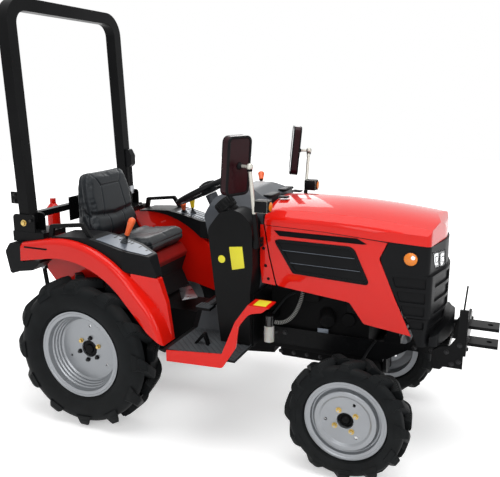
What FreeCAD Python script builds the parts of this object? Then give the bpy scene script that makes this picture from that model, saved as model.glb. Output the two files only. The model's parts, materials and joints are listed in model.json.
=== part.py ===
import FreeCAD, Part
import math
import os
import Sketcher

from FreeCAD import Rotation, Vector

# A compact four-wheel-drive tractor with an open operator station.
# Frame: +X forward, +Y to the tractor's left, +Z up, origin on the ground under the middle of the
# overall length.  Every side profile is drawn from the rear axle's line and then set to its place.

SIZES = {
    # overall reach from the rear axle's line
    "rear_reach": 620, "front_reach": 1980,
    # running gear
    "wheelbase": 1379,
    "rear_tyre_radius": 402, "rear_tyre_width": 220, "rear_track_half": 486,
    "rear_rim_flange": 231, "rear_rim_barrel": 206,
    "front_tyre_radius": 286, "front_tyre_width": 143, "front_track_half": 458,
    "front_rim_flange": 188, "front_rim_barrel": 165,
    "kingpin_half": 345, "kingpin_radius": 24, "steer_arm": 120,
    "running_gap": 0.05, "bead_gap": 0.3, "lugs_a_side": 12,
    # hood
    "hood_half": 285, "skirt_half": 280, "skin": 4,
    "hood_back": 905, "hood_front": 1723, "mask_front": 1735, "mask_wall": 14,
    # operator station
    "fender_outer": 540, "fender_inner": 340, "sheet": 5,
    "floor_height": 500, "mat": 6,
    "seat_half": 225,
    "wheel_x": 470, "wheel_z": 1210, "wheel_tilt": 27, "wheel_radius": 190, "wheel_rim": 14,
    # roll bar
    "hoop_half": 487, "hoop_tube": 65, "hoop_top": 2182, "hoop_pivot_x": -361, "hoop_pivot_z": 1050,
    "hoop_lean": 50,
    # hitch
    "link_pin_x": -95, "link_pin_z": 300, "link_reach": 490, "link_rise": 100,
    "arm_pin_x": -150, "arm_pin_z": 700, "pto_radius": 17.5, "pto_height": 450,
}

doc = FreeCAD.newDocument("CompactTractor")
sheet = doc.addObject("Spreadsheet::Sheet", "Dimensions")
for row, (alias, amount) in enumerate(SIZES.items(), 1):
    sheet.set(f"A{row}", alias)
    sheet.set(f"B{row}", str(amount))
    sheet.setAlias(f"B{row}", alias)
doc.recompute()


class Length:
    """A size in millimetres that keeps the spreadsheet formula it was worked out with."""

    def __init__(self, value, formula):
        self.value = value
        self.formula = formula

    def __add__(self, other):
        other = length(other)
        return Length(self.value + other.value, f"({self.formula} + {other.formula})")

    def __sub__(self, other):
        other = length(other)
        return Length(self.value - other.value, f"({self.formula} - {other.formula})")

    def __mul__(self, factor):
        return Length(self.value * factor, f"({self.formula} * {factor})")

    def __neg__(self):
        return self * -1

    def __float__(self):
        return float(self.value)

    __radd__ = __add__
    __rmul__ = __mul__

    def __rsub__(self, other):
        return length(other) - self


def length(amount):
    """Take a plain number or a Length and give back a Length."""
    if isinstance(amount, Length):
        return amount
    return Length(float(amount), repr(round(float(amount), 6)))


class Sheet:
    """Read any driving dimension as an attribute."""

    def __getattr__(self, alias):
        return Length(float(sheet.get(alias)), f"Dimensions.{alias}")


size = Sheet()
rear_axle_x = (size.rear_reach - size.front_reach) * 0.5
SIDES = {"left": 1, "right": -1}


# ---- helpers ----------------------------------------------------------------------------------

def place(thing, x=0, y=0, z=0):
    """Bind an object's place to the sheet."""
    for axis, amount in zip("xyz", (x, y, z)):
        thing.setExpression(f"Placement.Base.{axis}", length(amount).formula)
    return thing


def fix(sketch, kind, *where, amount):
    """Add one dimension to a sketch and bind it to the sheet."""
    number = sketch.addConstraint(Sketcher.Constraint(kind, *where, float(amount)))
    if isinstance(amount, Length):
        sketch.setExpression(f"Constraints[{number}]", amount.formula)


def add_loop(sketch, corners, closed=True):
    """Draw one outline; a corner is (x, y) or (x, y, radius of its round)."""
    spots = [Vector(float(corner[0]), float(corner[1]), 0) for corner in corners]
    rounds = [float(corner[2]) if len(corner) > 2 else 0.0 for corner in corners]
    enters, leaves, arcs = [], [], []
    for i, (spot, radius) in enumerate(zip(spots, rounds)):
        if not radius:
            enters.append(spot)
            leaves.append(spot)
            arcs.append(None)
            continue
        back = (spots[i - 1] - spot).normalize()
        ahead = (spots[(i + 1) % len(spots)] - spot).normalize()
        half = back.getAngle(ahead) / 2
        enters.append(spot + back * (radius / math.tan(half)))
        leaves.append(spot + ahead * (radius / math.tan(half)))
        centre = spot + (back + ahead).normalize() * (radius / math.sin(half))
        turns_left = back.cross(ahead).z < 0
        first, last = (enters[i], leaves[i]) if turns_left else (leaves[i], enters[i])
        angles = [math.atan2(end.y - centre.y, end.x - centre.x) for end in (first, last)]
        circle = Part.Circle(centre, Vector(0, 0, 1), radius)
        arc = sketch.addGeometry(Part.ArcOfCircle(circle, *angles))
        arcs.append((arc, 1 if turns_left else 2, 2 if turns_left else 1))
    lines = [sketch.addGeometry(Part.LineSegment(leaves[i], enters[(i + 1) % len(spots)]))
             for i in range(len(spots) if closed else len(spots) - 1)]
    if not closed:
        for line, end, corner in ((lines[0], 1, corners[0]), (lines[-1], 2, corners[-1])):
            fix(sketch, "DistanceX", line, end, amount=corner[0])
            fix(sketch, "DistanceY", line, end, amount=corner[1])
    for i, corner in enumerate(corners):
        if not closed and i in (0, len(corners) - 1):
            continue
        before, after = lines[i - 1], lines[i]
        if arcs[i] is None:
            sketch.addConstraint(Sketcher.Constraint("Coincident", before, 2, after, 1))
            fix(sketch, "DistanceX", after, 1, amount=corner[0])
            fix(sketch, "DistanceY", after, 1, amount=corner[1])
            continue
        arc, enter_end, leave_end = arcs[i]
        point = sketch.addGeometry(Part.Point(spots[i]), True)
        sketch.addConstraint([
            Sketcher.Constraint("Tangent", before, 2, arc, enter_end),
            Sketcher.Constraint("Tangent", arc, leave_end, after, 1),
            Sketcher.Constraint("PointOnObject", point, 1, before),
            Sketcher.Constraint("PointOnObject", point, 1, after)])
        fix(sketch, "Radius", arc, amount=corner[2])
        fix(sketch, "DistanceX", point, 1, amount=corner[0])
        fix(sketch, "DistanceY", point, 1, amount=corner[1])


def add_circle(sketch, x, y, radius):
    circle = sketch.addGeometry(Part.Circle(Vector(float(x), float(y), 0), Vector(0, 0, 1), float(radius)))
    fix(sketch, "DistanceX", circle, 3, amount=x)
    fix(sketch, "DistanceY", circle, 3, amount=y)
    fix(sketch, "Radius", circle, amount=radius)


PLANES = {"side": "XZ_Plane", "front": "YZ_Plane", "top": "XY_Plane"}


def new_body(name, plane, loops):
    """Start a body with one sketch on its own origin plane."""
    body = doc.addObject("PartDesign::Body", name)
    sketch = body.newObject("Sketcher::SketchObject", name + "_outline")
    origin = [plane_object for plane_object in body.Origin.OriginFeatures
              if plane_object.Role == PLANES[plane]]
    sketch.AttachmentSupport = [(origin[0], "")]
    sketch.MapMode = "FlatFace"
    for loop in loops:
        if len(loop) == 3 and not isinstance(loop[0], tuple):
            add_circle(sketch, *loop)
        else:
            add_loop(sketch, loop)
    return body, sketch


def prism(name, plane, loops, low, high):
    """Pad an outline: 'side' runs along Y, 'front' along X and 'top' along Z, from low to high."""
    body, sketch = new_body(name, plane, loops)
    feature = body.newObject("PartDesign::Pad", name + "_pad")
    feature.Profile = sketch
    feature.Reversed = plane == "side"
    low, high = length(low), length(high)
    feature.setExpression("Length", (high - low).formula)
    shift = {"side": (rear_axle_x, low, 0), "front": (rear_axle_x + low, 0, 0), "top": (rear_axle_x, 0, low)}
    return place(body, *shift[plane])


def turned(name, loops, x, y, z, about="H_Axis"):
    """Revolve a section drawn across the wheels (Y) and up (Z) about its own Y or Z axis."""
    body, sketch = new_body(name, "front", loops)
    feature = body.newObject("PartDesign::Revolution", name + "_turn")
    feature.Profile = sketch
    feature.ReferenceAxis = (sketch, [about])
    feature.Angle = 360
    return place(body, rear_axle_x + x, y, z)


def block(name, x, y, z):
    """A plain block between pairs of X, Y and Z, measured from the rear axle's line."""
    box = doc.addObject("Part::Box", name)
    for side, (low, high) in zip(("Length", "Width", "Height"), (x, y, z)):
        box.setExpression(side, (length(high) - length(low)).formula)
    return place(box, rear_axle_x + x[0], y[0], z[0])


def lofted(name, stations):
    """A form through outlines across the tractor; a station is its X and its outline."""
    sections = []
    for number, (x, outline) in enumerate(stations):
        sketch = doc.addObject("Sketcher::SketchObject", f"{name}_section_{number}")
        sketch.Placement.Rotation = Rotation(Vector(1, 1, 1), 120)
        add_loop(sketch, outline)
        sections.append(place(sketch, rear_axle_x + x))
    form = doc.addObject("Part::Loft", name)
    form.Sections = sections
    form.Solid = True
    return form


def swept(name, line, section):
    """Carry an outline, drawn across the tractor and up from the line, along a rounded line."""
    path = doc.addObject("Sketcher::SketchObject", name + "_line")
    path.Placement.Rotation = Rotation(Vector(1, 0, 0), 90)
    add_loop(path, line, closed=False)
    place(path, rear_axle_x)
    start, ahead = [Vector(corner[0], 0, corner[1]) for corner in line[:2]]
    slope = math.degrees(math.atan2(ahead.z - start.z, ahead.x - start.x))
    across = doc.addObject("Sketcher::SketchObject", name + "_section")
    across.Placement.Rotation = Rotation(Vector(0, 1, 0), -slope) * Rotation(Vector(1, 1, 1), 120)
    add_loop(across, section)
    place(across, rear_axle_x + start.x, 0, start.z)
    bar = doc.addObject("Part::Sweep", name)
    bar.Sections = [across]
    bar.Spine = path
    bar.Solid = True
    return bar


TURNS = {"x": Rotation(Vector(0, 1, 0), 90), "y": Rotation(Vector(1, 0, 0), -90), "z": Rotation()}


def rod(name, axis, x, y, z, radius, reach):
    """A round bar that starts at a point and runs along +X, +Y or +Z."""
    bar = doc.addObject("Part::Cylinder", name)
    bar.Placement.Rotation = TURNS[axis]
    bar.setExpression("Radius", length(radius).formula)
    bar.setExpression("Height", length(reach).formula)
    return place(bar, rear_axle_x + x, y, z)


def slanted_rod(name, start, end, radius):
    """A round bar between two points, measured from the rear axle's line."""
    first = Vector(*[float(value) for value in start])
    run = Vector(*[float(value) for value in end]) - first
    bar = doc.addObject("Part::Cylinder", name)
    bar.Radius = float(radius)
    bar.Height = run.Length
    bar.Placement.Rotation = Rotation(Vector(0, 0, 1), run)
    return place(bar, rear_axle_x + first.x, first.y, first.z)


def joined(name, *pieces):
    whole = doc.addObject("Part::MultiFuse", name)
    whole.Shapes = list(pieces)
    return whole


def shared(name, *pieces):
    whole = doc.addObject("Part::MultiCommon", name)
    whole.Shapes = list(pieces)
    return whole


def cut(name, base, *tools):
    whole = doc.addObject("Part::Cut", name)
    whole.Base = base
    whole.Tool = tools[0] if len(tools) == 1 else joined(name + "_tools", *tools)
    return whole


def mirrored(name, source):
    """The same piece on the other side of the tractor's middle plane."""
    copy = doc.addObject("Part::Mirroring", name)
    copy.Source = source
    copy.Normal = (0, 1, 0)
    return copy


def pair(name, source):
    """A right-hand piece and its left-hand twin in one node."""
    return joined(name, source, mirrored(name + "_twin", source))


def tube(name, points, radius):
    """A bent tube: straight runs joined by arcs as large as each pair of runs allows."""
    spots = [Vector(rear_axle_x.value + point[0], point[1], point[2]) for point in points]
    edges = []
    start = spots[0]
    for before, spot, after in zip(spots, spots[1:], spots[2:]):
        back, ahead = before - spot, after - spot
        half_turn = (math.pi - back.getAngle(ahead)) / 2
        reach = 0.45 * min(back.Length, ahead.Length)
        print(f"{name}: bend radius {reach / math.tan(half_turn):.0f} mm")
        enter = spot + back.normalize() * reach
        leave = spot + ahead.normalize() * reach
        bow = (back + ahead).normalize()
        bend = reach / math.tan(half_turn)
        middle = spot + bow * (bend / math.cos(half_turn) - bend)
        edges += [Part.LineSegment(start, enter).toShape(), Part.Arc(enter, middle, leave).toShape()]
        start = leave
    edges.append(Part.LineSegment(start, spots[-1]).toShape())
    path = Part.Wire(edges)
    ring = Part.Wire(Part.makeCircle(radius, spots[0], spots[1] - spots[0]))
    solid = path.makePipeShell([ring], True, False)
    print(f"{name}: {path.Length:.0f} mm long, volume ratio "
          f"{solid.Volume / (math.pi * radius ** 2 * path.Length):.3f}")
    feature = doc.addObject("Part::Feature", name)
    feature.Shape = solid
    return feature


NODES = []


def node(name, thing):
    """Name a finished sub-part: its label is the name of its file."""
    thing.Label = name
    NODES.append(thing)
    return thing


# ---- engine, transmission and frame -----------------------------------------------------------

def build_drive_line():
    upper = prism("engine_upper", "side",
                  [[(900, 440), (1282, 440), (1282, 482), (1400, 482), (1400, 720), (1350, 930, 20),
                    (950, 930, 20), (900, 880)]], -160, 160)
    sump = prism("engine_sump", "side",
                 [[(930, 440), (930, 372, 20), (1220, 372, 30), (1262, 440)]], -105, 105)
    node("engine_block", joined("engine", upper, sump))

    case = prism("gear_case", "side",
                 [[(-150, 290, 20), (-150, 595, 20), (200, 595, 30), (260, 548, 30), (872, 548),
                   (872, 650, 15), (900, 650), (900, 385), (560, 350, 40), (200, 290, 30)]], -118, 118)
    neck = size.pto_radius - 1.5
    shaft_bore = rod("pto_bore", "x", -151, 0, size.pto_height, neck + size.running_gap, 71)
    shield = prism("pto_shield", "front",
                   [[(-90, 505), (-90, 560), (90, 560), (90, 505), (82, 505), (82, 552), (-82, 552),
                     (-82, 505)]],
                   -270, -150)
    node("transmission", cut("gear_housing", joined("gear_castings", case, shield), shaft_bore))
    node("pto_shaft", joined("pto_stub", rod("pto_spline", "x", -240, 0, size.pto_height, size.pto_radius, 85),
                             rod("pto_neck", "x", -156, 0, size.pto_height, neck, 70)))

    radius = size.rear_tyre_radius
    trumpet = rod("trumpet_right", "y", 0, -455, radius, 62, 337)
    brake = rod("brake_right", "y", 0, -178, radius, 98, 60)
    hanger = prism("link_hanger_right", "side",
                   [[(-128, 268, 20), (-128, 380), (-30, 400), (20, 360), (-40, 268, 20)]], -245, -225)
    pin = rod("link_pin_right", "y", size.link_pin_x, -290, size.link_pin_z, 12, 50)
    half = cut("axle_half_right", joined("axle_castings_right", trumpet, brake, hanger, pin),
               rod("axle_bore_right", "y", 0, -456, radius, 26 + size.running_gap, 60))
    node("rear_axle", pair("rear_axle_halves", half))

    rail = prism("rail_right", "side",
                 [[(900, 470), (900, 560), (1575, 560), (1620, 590), (1770, 590), (1770, 535), (1590, 535),
                   (1490, 470)]], -182, -170)
    rail_pad = block("rail_pad_right", (920, 1000), (-170, -160), (480, 550))
    cross = block("cross_front", (1600, 1770), (-170, 170), (540, 580))
    saddle = block("axle_saddle", (1284, 1474), (-170, 170), (450, 480))
    ear_line = [(-75, 451), (-52, 330, 40), (52, 330, 40), (75, 451)]
    rear_ear = prism("pivot_ear_rear", "front", [ear_line], 1284, 1302)
    front_ear = prism("pivot_ear_front", "front", [ear_line], 1456, 1474)
    node("front_frame", joined("front_rails", rail, mirrored("rail_left", rail), rail_pad,
                               mirrored("rail_pad_left", rail_pad), cross, saddle, rear_ear, front_ear))
    core = block("radiator_core", (1490, 1550), (-190, 190), (590, 960))
    foot = block("radiator_foot", (1480, 1556), (-182, 182), (560, 590))
    header = prism("radiator_header", "front",
                   [[(-170, 960), (-170, 985, 15), (170, 985, 15), (170, 960)]], 1495, 1545)
    node("radiator", joined("radiator_parts", core, foot, header))

    low_line = [(1848, 556), (1838, 548), (1838, 486), (1755, 486), (1740, 470), (1700, 470, 10), (1700, 556),
                (1735, 582, 6), (1776, 588, 6), (1808, 640)]
    plate = prism("nose_cheek_right", "side", [low_line + [(1810, 768), (1848, 768)]], -194, -182)
    short_plate = prism("nose_cheek_left", "side", [low_line + [(1848, 640)]], 182, 194)
    face = prism("nose_face", "front",
                 [[(-182, 545), (-182, 640), (-100, 685, 12), (100, 685, 12), (182, 640), (182, 545)]],
                 1836, 1848)
    tongue_lower = block("tongue_lower", (1848, size.front_reach), (-50, 50), (548, 563))
    tongue_upper = block("tongue_upper", (1848, size.front_reach), (-50, 50), (633, 648))
    pin_hole = rod("tongue_hole", "z", 1940, 0, 540, 13, 120)
    lever = slanted_rod("pin_lever", (1824, -186, 720), (1834, -165, 875), 4)
    node("front_bracket", cut("nose_bracket", joined("nose_plates", plate, short_plate,
                                                     face, tongue_lower, tongue_upper, lever), pin_hole))


# ---- axles, wheels and steering ---------------------------------------------------------------

def wheel_section(outward, corners):
    """Turn a section drawn with +Y outwards into one for the left (1) or right (-1) wheel."""
    return [[(length(corner[0]) * outward, *corner[1:]) for corner in corners]]


TYRE_SHOULDER = 31.5
FACETS = 20


def on_wheel(angle, y, radius):
    """A point of a wheel, its angle measured from the top towards the front."""
    return Vector(math.sin(angle) * radius, y, math.cos(angle) * radius)


def closed_solid(rings):
    """Join rings of points with flat triangles into one solid and close both of its ends."""
    faces = []
    for ring, following in zip(rings, rings[1:]):
        for i, corner in enumerate(ring):
            j = (i + 1) % len(ring)
            faces += [[corner, ring[j], following[j]], [corner, following[j], following[i]]]
    if rings[0] != rings[-1]:
        for ring in (rings[0], rings[-1]):
            faces += [[ring[0], ring[i], ring[i + 1]] for i in range(1, len(ring) - 1)]
    shell = Part.makeShell([Part.Face(Part.makePolygon(corners + corners[:1])) for corners in faces])
    solid = Part.makeSolid(shell)
    if solid.Volume < 0:
        solid.reverse()
    return solid


def lug(side, angle, half, radius, tread, thick):
    """One tread bar: from the middle of the tread back and out over the shoulder."""
    stations = [(-8, radius, tread - 12, thick * 0.5), (half * 0.8, radius - 5, tread - 30, thick * 0.55),
                (half * 0.98, tread - 16, tread - 62, thick * 0.6)]
    rings = []
    for y, top, low, width in stations:
        middle = angle - (y + 8) * 0.9 / radius
        spread = (width + 5) / low
        lean = width / top
        rings.append([on_wheel(middle - lean, side * y, top), on_wheel(middle + lean, side * y, top),
                      on_wheel(middle + spread, side * y, low), on_wheel(middle - spread, side * y, low)])
    return closed_solid(rings)


def build_tyre(name, x, track, radius, width, barrel, flange, lug_height, lug_thick):
    """A farm tyre: a ring of flat facets that carries two rows of staggered tread bars."""
    outer, half = float(radius), float(width) / 2
    tread = outer - lug_height
    clear = 1 / math.cos(math.pi / FACETS)
    seat = (float(barrel) + float(size.bead_gap)) * clear
    bead, rim_top = half - TYRE_SHOULDER, (float(flange) + 3) * clear
    wall = rim_top + (tread - rim_top) * 0.45
    section = [(-bead, seat), (-bead, rim_top), (-half * 0.96, wall), (-half * 0.82, tread - 6),
               (half * 0.82, tread - 6), (half * 0.96, wall), (bead, rim_top), (bead, seat)]
    turns = [2 * math.pi * number / FACETS for number in range(FACETS)]
    rings = [[on_wheel(turn, y, r) for y, r in section] for turn in turns]
    body = closed_solid(rings + rings[:1])
    pitch = 2 * math.pi / float(size.lugs_a_side)
    first = -lug_thick / 2 / outer
    bars = [lug(side, first + pitch * (number + shift), half, outer, tread, lug_thick)
            for side, shift in ((1, 0), (-1, 0.5)) for number in range(int(float(size.lugs_a_side)))]
    tyre = doc.addObject("Part::Feature", name + "_lugged")
    tyre.Shape = body.multiFuse(bars).removeSplitter()
    place(tyre, rear_axle_x + x, track * -1, radius)
    node(name + "_right", tyre)
    node(name + "_left", mirrored(name + "_lugged_left", tyre))


def drilled(name, wheel, x, y, z, circle, count, first, radius):
    """Drill a ring of equal holes through a wheel's disc."""
    drills = []
    for number in range(count):
        angle = math.radians(first + number * 360 / count)
        drills.append(rod(f"{name}_drill_{number}", "y", x + math.sin(angle) * circle, y - 30,
                          z + math.cos(angle) * circle, radius, 60))
    return cut(name, wheel, *drills)


def build_wheels():
    build_tyre("rear_tyre", 0, size.rear_track_half, size.rear_tyre_radius, size.rear_tyre_width,
               size.rear_rim_barrel, size.rear_rim_flange, 30, 52)
    build_tyre("front_tyre", size.wheelbase, size.front_track_half, size.front_tyre_radius,
               size.front_tyre_width, size.front_rim_barrel, size.front_rim_flange, 22, 40)

    flange, barrel = size.rear_rim_flange, size.rear_rim_barrel
    steps = []
    for number in range(4):
        y, r = 62 - 15 * number, barrel - 6 - 8 * number
        steps += [(y, r, 3), (y - 10, r - 2, 3)]
    rear = [(-78.8, barrel), (-78.8, flange - 2), (-85, flange), (-85, barrel - 6), (-20, barrel - 6, 12),
            (-8, 160), (-8, 62), (-26, 58), (-26, 26), (-70, 26), (-70, 0), (-18, 0), (-18, 46), (0, 46, 2),
            (0, 166, 4), *reversed(steps), (80, barrel - 3, 3), (81.5, flange - 12, 3), (85, flange - 9, 2),
            (85, flange), (78.8, flange - 2), (78.8, barrel)]
    flange, barrel = size.front_rim_flange, size.front_rim_barrel
    front = [(-40.3, barrel), (-40.3, flange - 2), (-46, flange), (-46, barrel - 5), (10, barrel - 5, 10),
             (30, 116), (30, 50), (-7, 44), (-7, 20), (-38, 20), (-38, 0), (10, 0), (10, 38), (38, 38, 2),
             (38, 112, 6), (47, 122, 7), (47, 142, 8), (22, 150, 7), (24, barrel - 5, 4), (42, barrel - 3, 3),
             (43.5, flange - 14, 3), (46, flange - 10, 2), (46, flange), (40.3, flange - 2), (40.3, barrel)]
    for label, side in SIDES.items():
        middle = size.rear_track_half * side
        disc = turned(f"rear_disc_{label}", wheel_section(side, rear), 0, middle, size.rear_tyre_radius)
        node(f"rear_rim_{label}",
             drilled(f"rear_wheel_{label}", disc, 0, middle, size.rear_tyre_radius, 128, 3, 5, 7))
        middle = size.front_track_half * side
        disc = turned(f"front_disc_{label}", wheel_section(side, front), size.wheelbase, middle,
                      size.front_tyre_radius)
        node(f"front_rim_{label}",
             drilled(f"front_wheel_{label}", disc, size.wheelbase, middle + 34 * side,
                     size.front_tyre_radius, 90, 3, 25, 8))


AXLE_HEIGHT = 356


def build_front_axle():
    middle = turned("differential", [[(-302, 0), (-302, 36), (-90, 42), (-55, 74, 20), (55, 74, 20), (90, 42),
                                      (302, 36), (302, 0)]], size.wheelbase, 0, AXLE_HEIGHT)
    pivot = rod("axle_pivot", "x", size.wheelbase - 77, 0, AXLE_HEIGHT, 38, 154)
    post = rod("kingpin_case_right", "z", size.wheelbase, -size.kingpin_half, 316, 50, 84)
    pin = rod("kingpin_right", "z", size.wheelbase, -size.kingpin_half, 240, size.kingpin_radius, 76)
    node("front_axle", joined("axle_beam", middle, pivot, post, pin,
                              mirrored("kingpin_case_left", post), mirrored("kingpin_left", pin)))

    upright = rod("upright", "z", size.wheelbase, -size.kingpin_half, 206, 52, 105)
    neck = block("hub_neck", (size.wheelbase - 42, size.wheelbase + 42), (-402, -size.kingpin_half),
                 (230, 310))
    hub = rod("hub_carrier", "y", size.wheelbase, -446, size.front_tyre_radius, 58, 44)
    arm = prism("steering_arm", "side",
                [[(size.wheelbase - size.steer_arm - 18, 206), (size.wheelbase - size.steer_arm - 18, 222),
                  (size.wheelbase - 30, 222), (size.wheelbase - 30, 206)]], -363, -327)
    pin_bore = rod("kingpin_bore", "z", size.wheelbase, -size.kingpin_half, 235,
                   size.kingpin_radius + size.running_gap, 80)
    hub_bore = rod("hub_bore", "y", size.wheelbase, -447, size.front_tyre_radius, 20 + size.running_gap, 36)
    carrier = cut("carrier_right", joined("carrier_castings", upright, neck, hub, arm), pin_bore, hub_bore)
    node("knuckle_right", carrier)
    node("knuckle_left", mirrored("carrier_left", carrier))
    rail_y = size.kingpin_half
    node("tie_rod", rod("tie_bar", "y", size.wheelbase - size.steer_arm, -rail_y - 14, 190, 11,
                        rail_y * 2 + 28))


# ---- hood -------------------------------------------------------------------------------------

# X, then the height of the side wall's top, of the crease and of the middle of the cover
CROWN = [(845, 1128, 1166, 1201), (1300, 1128, 1168, 1207), (1560, 1106, 1146, 1181), (1750, 1080, 1120, 1152)]
VENT = [(947, 1037, 18), (1337, 1033, 45), (1420, 859, 14), (1050, 876, 18)]
LAMP = [(-244, 1034), (-71, 1011), (-49, 926), (-192, 944)]
SIGNAL = (1593, 1000)


def drawn_in(corners, amount):
    """Move each corner of an outline towards its middle, by about the given amount."""
    middle = [sum(corner[axis] for corner in corners) / len(corners) for axis in (0, 1)]
    inner = []
    for corner in corners:
        reach = math.hypot(corner[0] - middle[0], corner[1] - middle[1])
        keep = 1 - amount * 1.4 / reach
        inner.append((middle[0] + (corner[0] - middle[0]) * keep, middle[1] + (corner[1] - middle[1]) * keep,
                      *[max(radius - amount, 2) for radius in corner[2:]]))
    return inner


def hood_form(tag, inset):
    """The cover's closed form, drawn in by inset: its outlines across, along and from above."""
    deep = 60 if inset else 0
    half = size.hood_half - inset
    front = size.hood_front - inset
    stations = []
    for x, side, crease, crown in CROWN:
        stations.append((x, [(half * -1, 960), (half * -1, side - inset, 40), (34 - half, crease - inset, 8),
                             (0, crown + 24 - inset, 900), (half - 34, crease - inset, 8),
                             (half, side - inset, 40), (half, 960)]))
    across = lofted("crown_across" + tag, stations)
    along = prism("crown_along" + tag, "side",
                  [[(size.hood_back - deep, 1102 - deep), (size.hood_back - deep, 1250),
                    (1560, 1215 - inset), (front - 17, 1150 - inset, 50), (front, 1057 - deep),
                    (1481, 1071 - deep), (1200, 1092 - deep)]], half * -1, half)
    above = prism("crown_above" + tag, "top",
                  [[(size.hood_back - deep, half * -1), (1430, half * -1, 900), (front - 50, 12 - half, 28),
                    (front, 0, 400), (front - 50, half - 12, 28), (1430, half, 900),
                    (size.hood_back - deep, half)]], 960, 1260)
    return shared("crown_form" + tag, across, along, above)


def skirt_form(tag, inset, nose=0):
    """The closed plan form that the side panels and the nose follow, drawn in by inset."""
    half = size.skirt_half - inset
    front = size.mask_front + nose - inset
    return prism("skirt_plan" + tag, "top",
                 [[(880, half * -1), (1430, half * -1, 700), (front - 62, 12 - half, 28), (front, 0, 400),
                   (front - 62, half - 12, 28), (1430, half, 700), (880, half)]], 590, 1110)


def skirt_wall(tag, outer, inner, nose=0):
    """What lies between two depths of the skirt form."""
    return cut("skirt_wall" + tag, skirt_form(tag + "_out", outer, nose), skirt_form(tag + "_in", inner, nose))


SLOT_LEAN = 0.33
SLOT_FOOT = 722
SLOT_ROUND = 6


def slot_outlines(rows, foot_end):
    """Side and front outlines of the air slots; their rear ends lean forwards towards the bottom."""
    side, front = [], []
    for low, high in rows:
        low_end, high_end = [foot_end + SLOT_LEAN * (SLOT_FOOT - height) for height in (low, high)]
        side.append([(low_end, low, SLOT_ROUND), (high_end, high, SLOT_ROUND), (1664, high, SLOT_ROUND),
                     (1664, low, SLOT_ROUND)])
        for y in (-218, 14):
            front.append([(y, low, SLOT_ROUND), (y, high, SLOT_ROUND), (y + 204, high, SLOT_ROUND),
                          (y + 204, low, SLOT_ROUND)])
    return side, front


def slotted(name, wall, rows, foot_end, nose, depth=9):
    """Sink rows of air slots into both sides and the front of a nose piece."""
    side, front = slot_outlines(rows, foot_end)
    tools = [prism(f"{name}_side_slots", "side", side, -300, 300),
             prism(f"{name}_front_slots", "front", front, 1670, 1820)]
    sink = skirt_wall(f"_{name}_sink", -30, depth, nose)
    return cut(name, wall, shared(f"{name}_sunk", sink, joined(f"{name}_slots", *tools)))


def build_hood():
    shell = cut("crown_shell", hood_form("_outer", 0), hood_form("_inner", float(size.skin)))
    node("hood_top", shell)
    panel_band = prism("panel_band", "side",
                       [[(905, 1101), (1200, 1091), (1490, 1068), (1455, 989, 20), (1537, 800), (1612, 640),
                         (1397, 672, 20), (1327, 767, 30), (970, 806, 20), (930, 960, 300)]], -300, 300)
    openings = prism("vent_openings", "side", [VENT], -300, 300)
    panels = shared("panel_shell", skirt_wall("_panel", 0, size.skin), panel_band)
    node("hood_sides", cut("hood_panels", panels, openings))

    half = size.skirt_half
    frame = prism("vent_frame", "side", [VENT, drawn_in(VENT, 13)], -half - 3, -half + 10)
    teeth = [(-half + 8, 850), (-half + 8, 1042)]
    for number in range(3):
        high = 1042 - number * 58
        teeth += [(-half + 7, high), (-half - 1, high - 57)]
    louvres = shared("vent_louvres", prism("vent_teeth", "front", [teeth], 930, 1430),
                     prism("vent_inside", "side", [drawn_in(VENT, 6)], -half - 10, -half + 20))
    node("hood_vents", pair("vent_pair", joined("vent_right", frame, louvres)))

    upper_band = prism("mask_upper_band", "side",
                       [[(1494, 1068), (1800, 1053), (1800, 925), (1484, 925), (1460, 991, 20)]], -300, 300)
    lower_band = prism("mask_lower_band", "side",
                       [[(1484, 925), (1800, 925), (1800, 727), (1577, 727), (1542, 800)]], -300, 300)
    wall = size.mask_wall
    upper = shared("mask_upper", skirt_wall("_upper", 0, wall), upper_band)
    lower = slotted("mask_lower", shared("mask_lower_wall", skirt_wall("_lower", 0, wall, 13), lower_band),
                    [(737, 782), (797, 847), (864, 912)], 1578, 13)
    lamp_opening = prism("lamp_opening", "front", [LAMP], 1600, 1760)
    sink = shared("lamp_sink", skirt_wall("_lamp_sink", -20, 9),
                  joined("lamp_openings", lamp_opening, mirrored("lamp_opening_left", lamp_opening)))
    signal_sink = rod("signal_sink", "y", SIGNAL[0], -300, SIGNAL[1], 31, 35)
    node("grille", cut("nose_mask", joined("mask_parts", upper, lower), sink, signal_sink,
                       mirrored("signal_sink_left", signal_sink)))
    lens = shared("headlamp_right", skirt_wall("_lens", 2, 9),
                  prism("lens_outline", "front", [drawn_in(LAMP, 1.5)], 1600, 1760))
    node("headlamps", pair("headlamp_pair", lens))
    node("hood_signals", pair("hood_signal_pair",
                              rod("hood_signal_right", "y", SIGNAL[0], -276, SIGNAL[1], 30, 11)))

    cowl_band = prism("cowl_band", "side",
                      [[(882, 1101), (898, 1101), (923, 960, 300), (962, 806), (893, 812), (882, 900)]],
                      -300, 300)
    node("cowl_sides", shared("cowl_panels", skirt_wall("_cowl", 0, size.skin), cowl_band))


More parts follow.
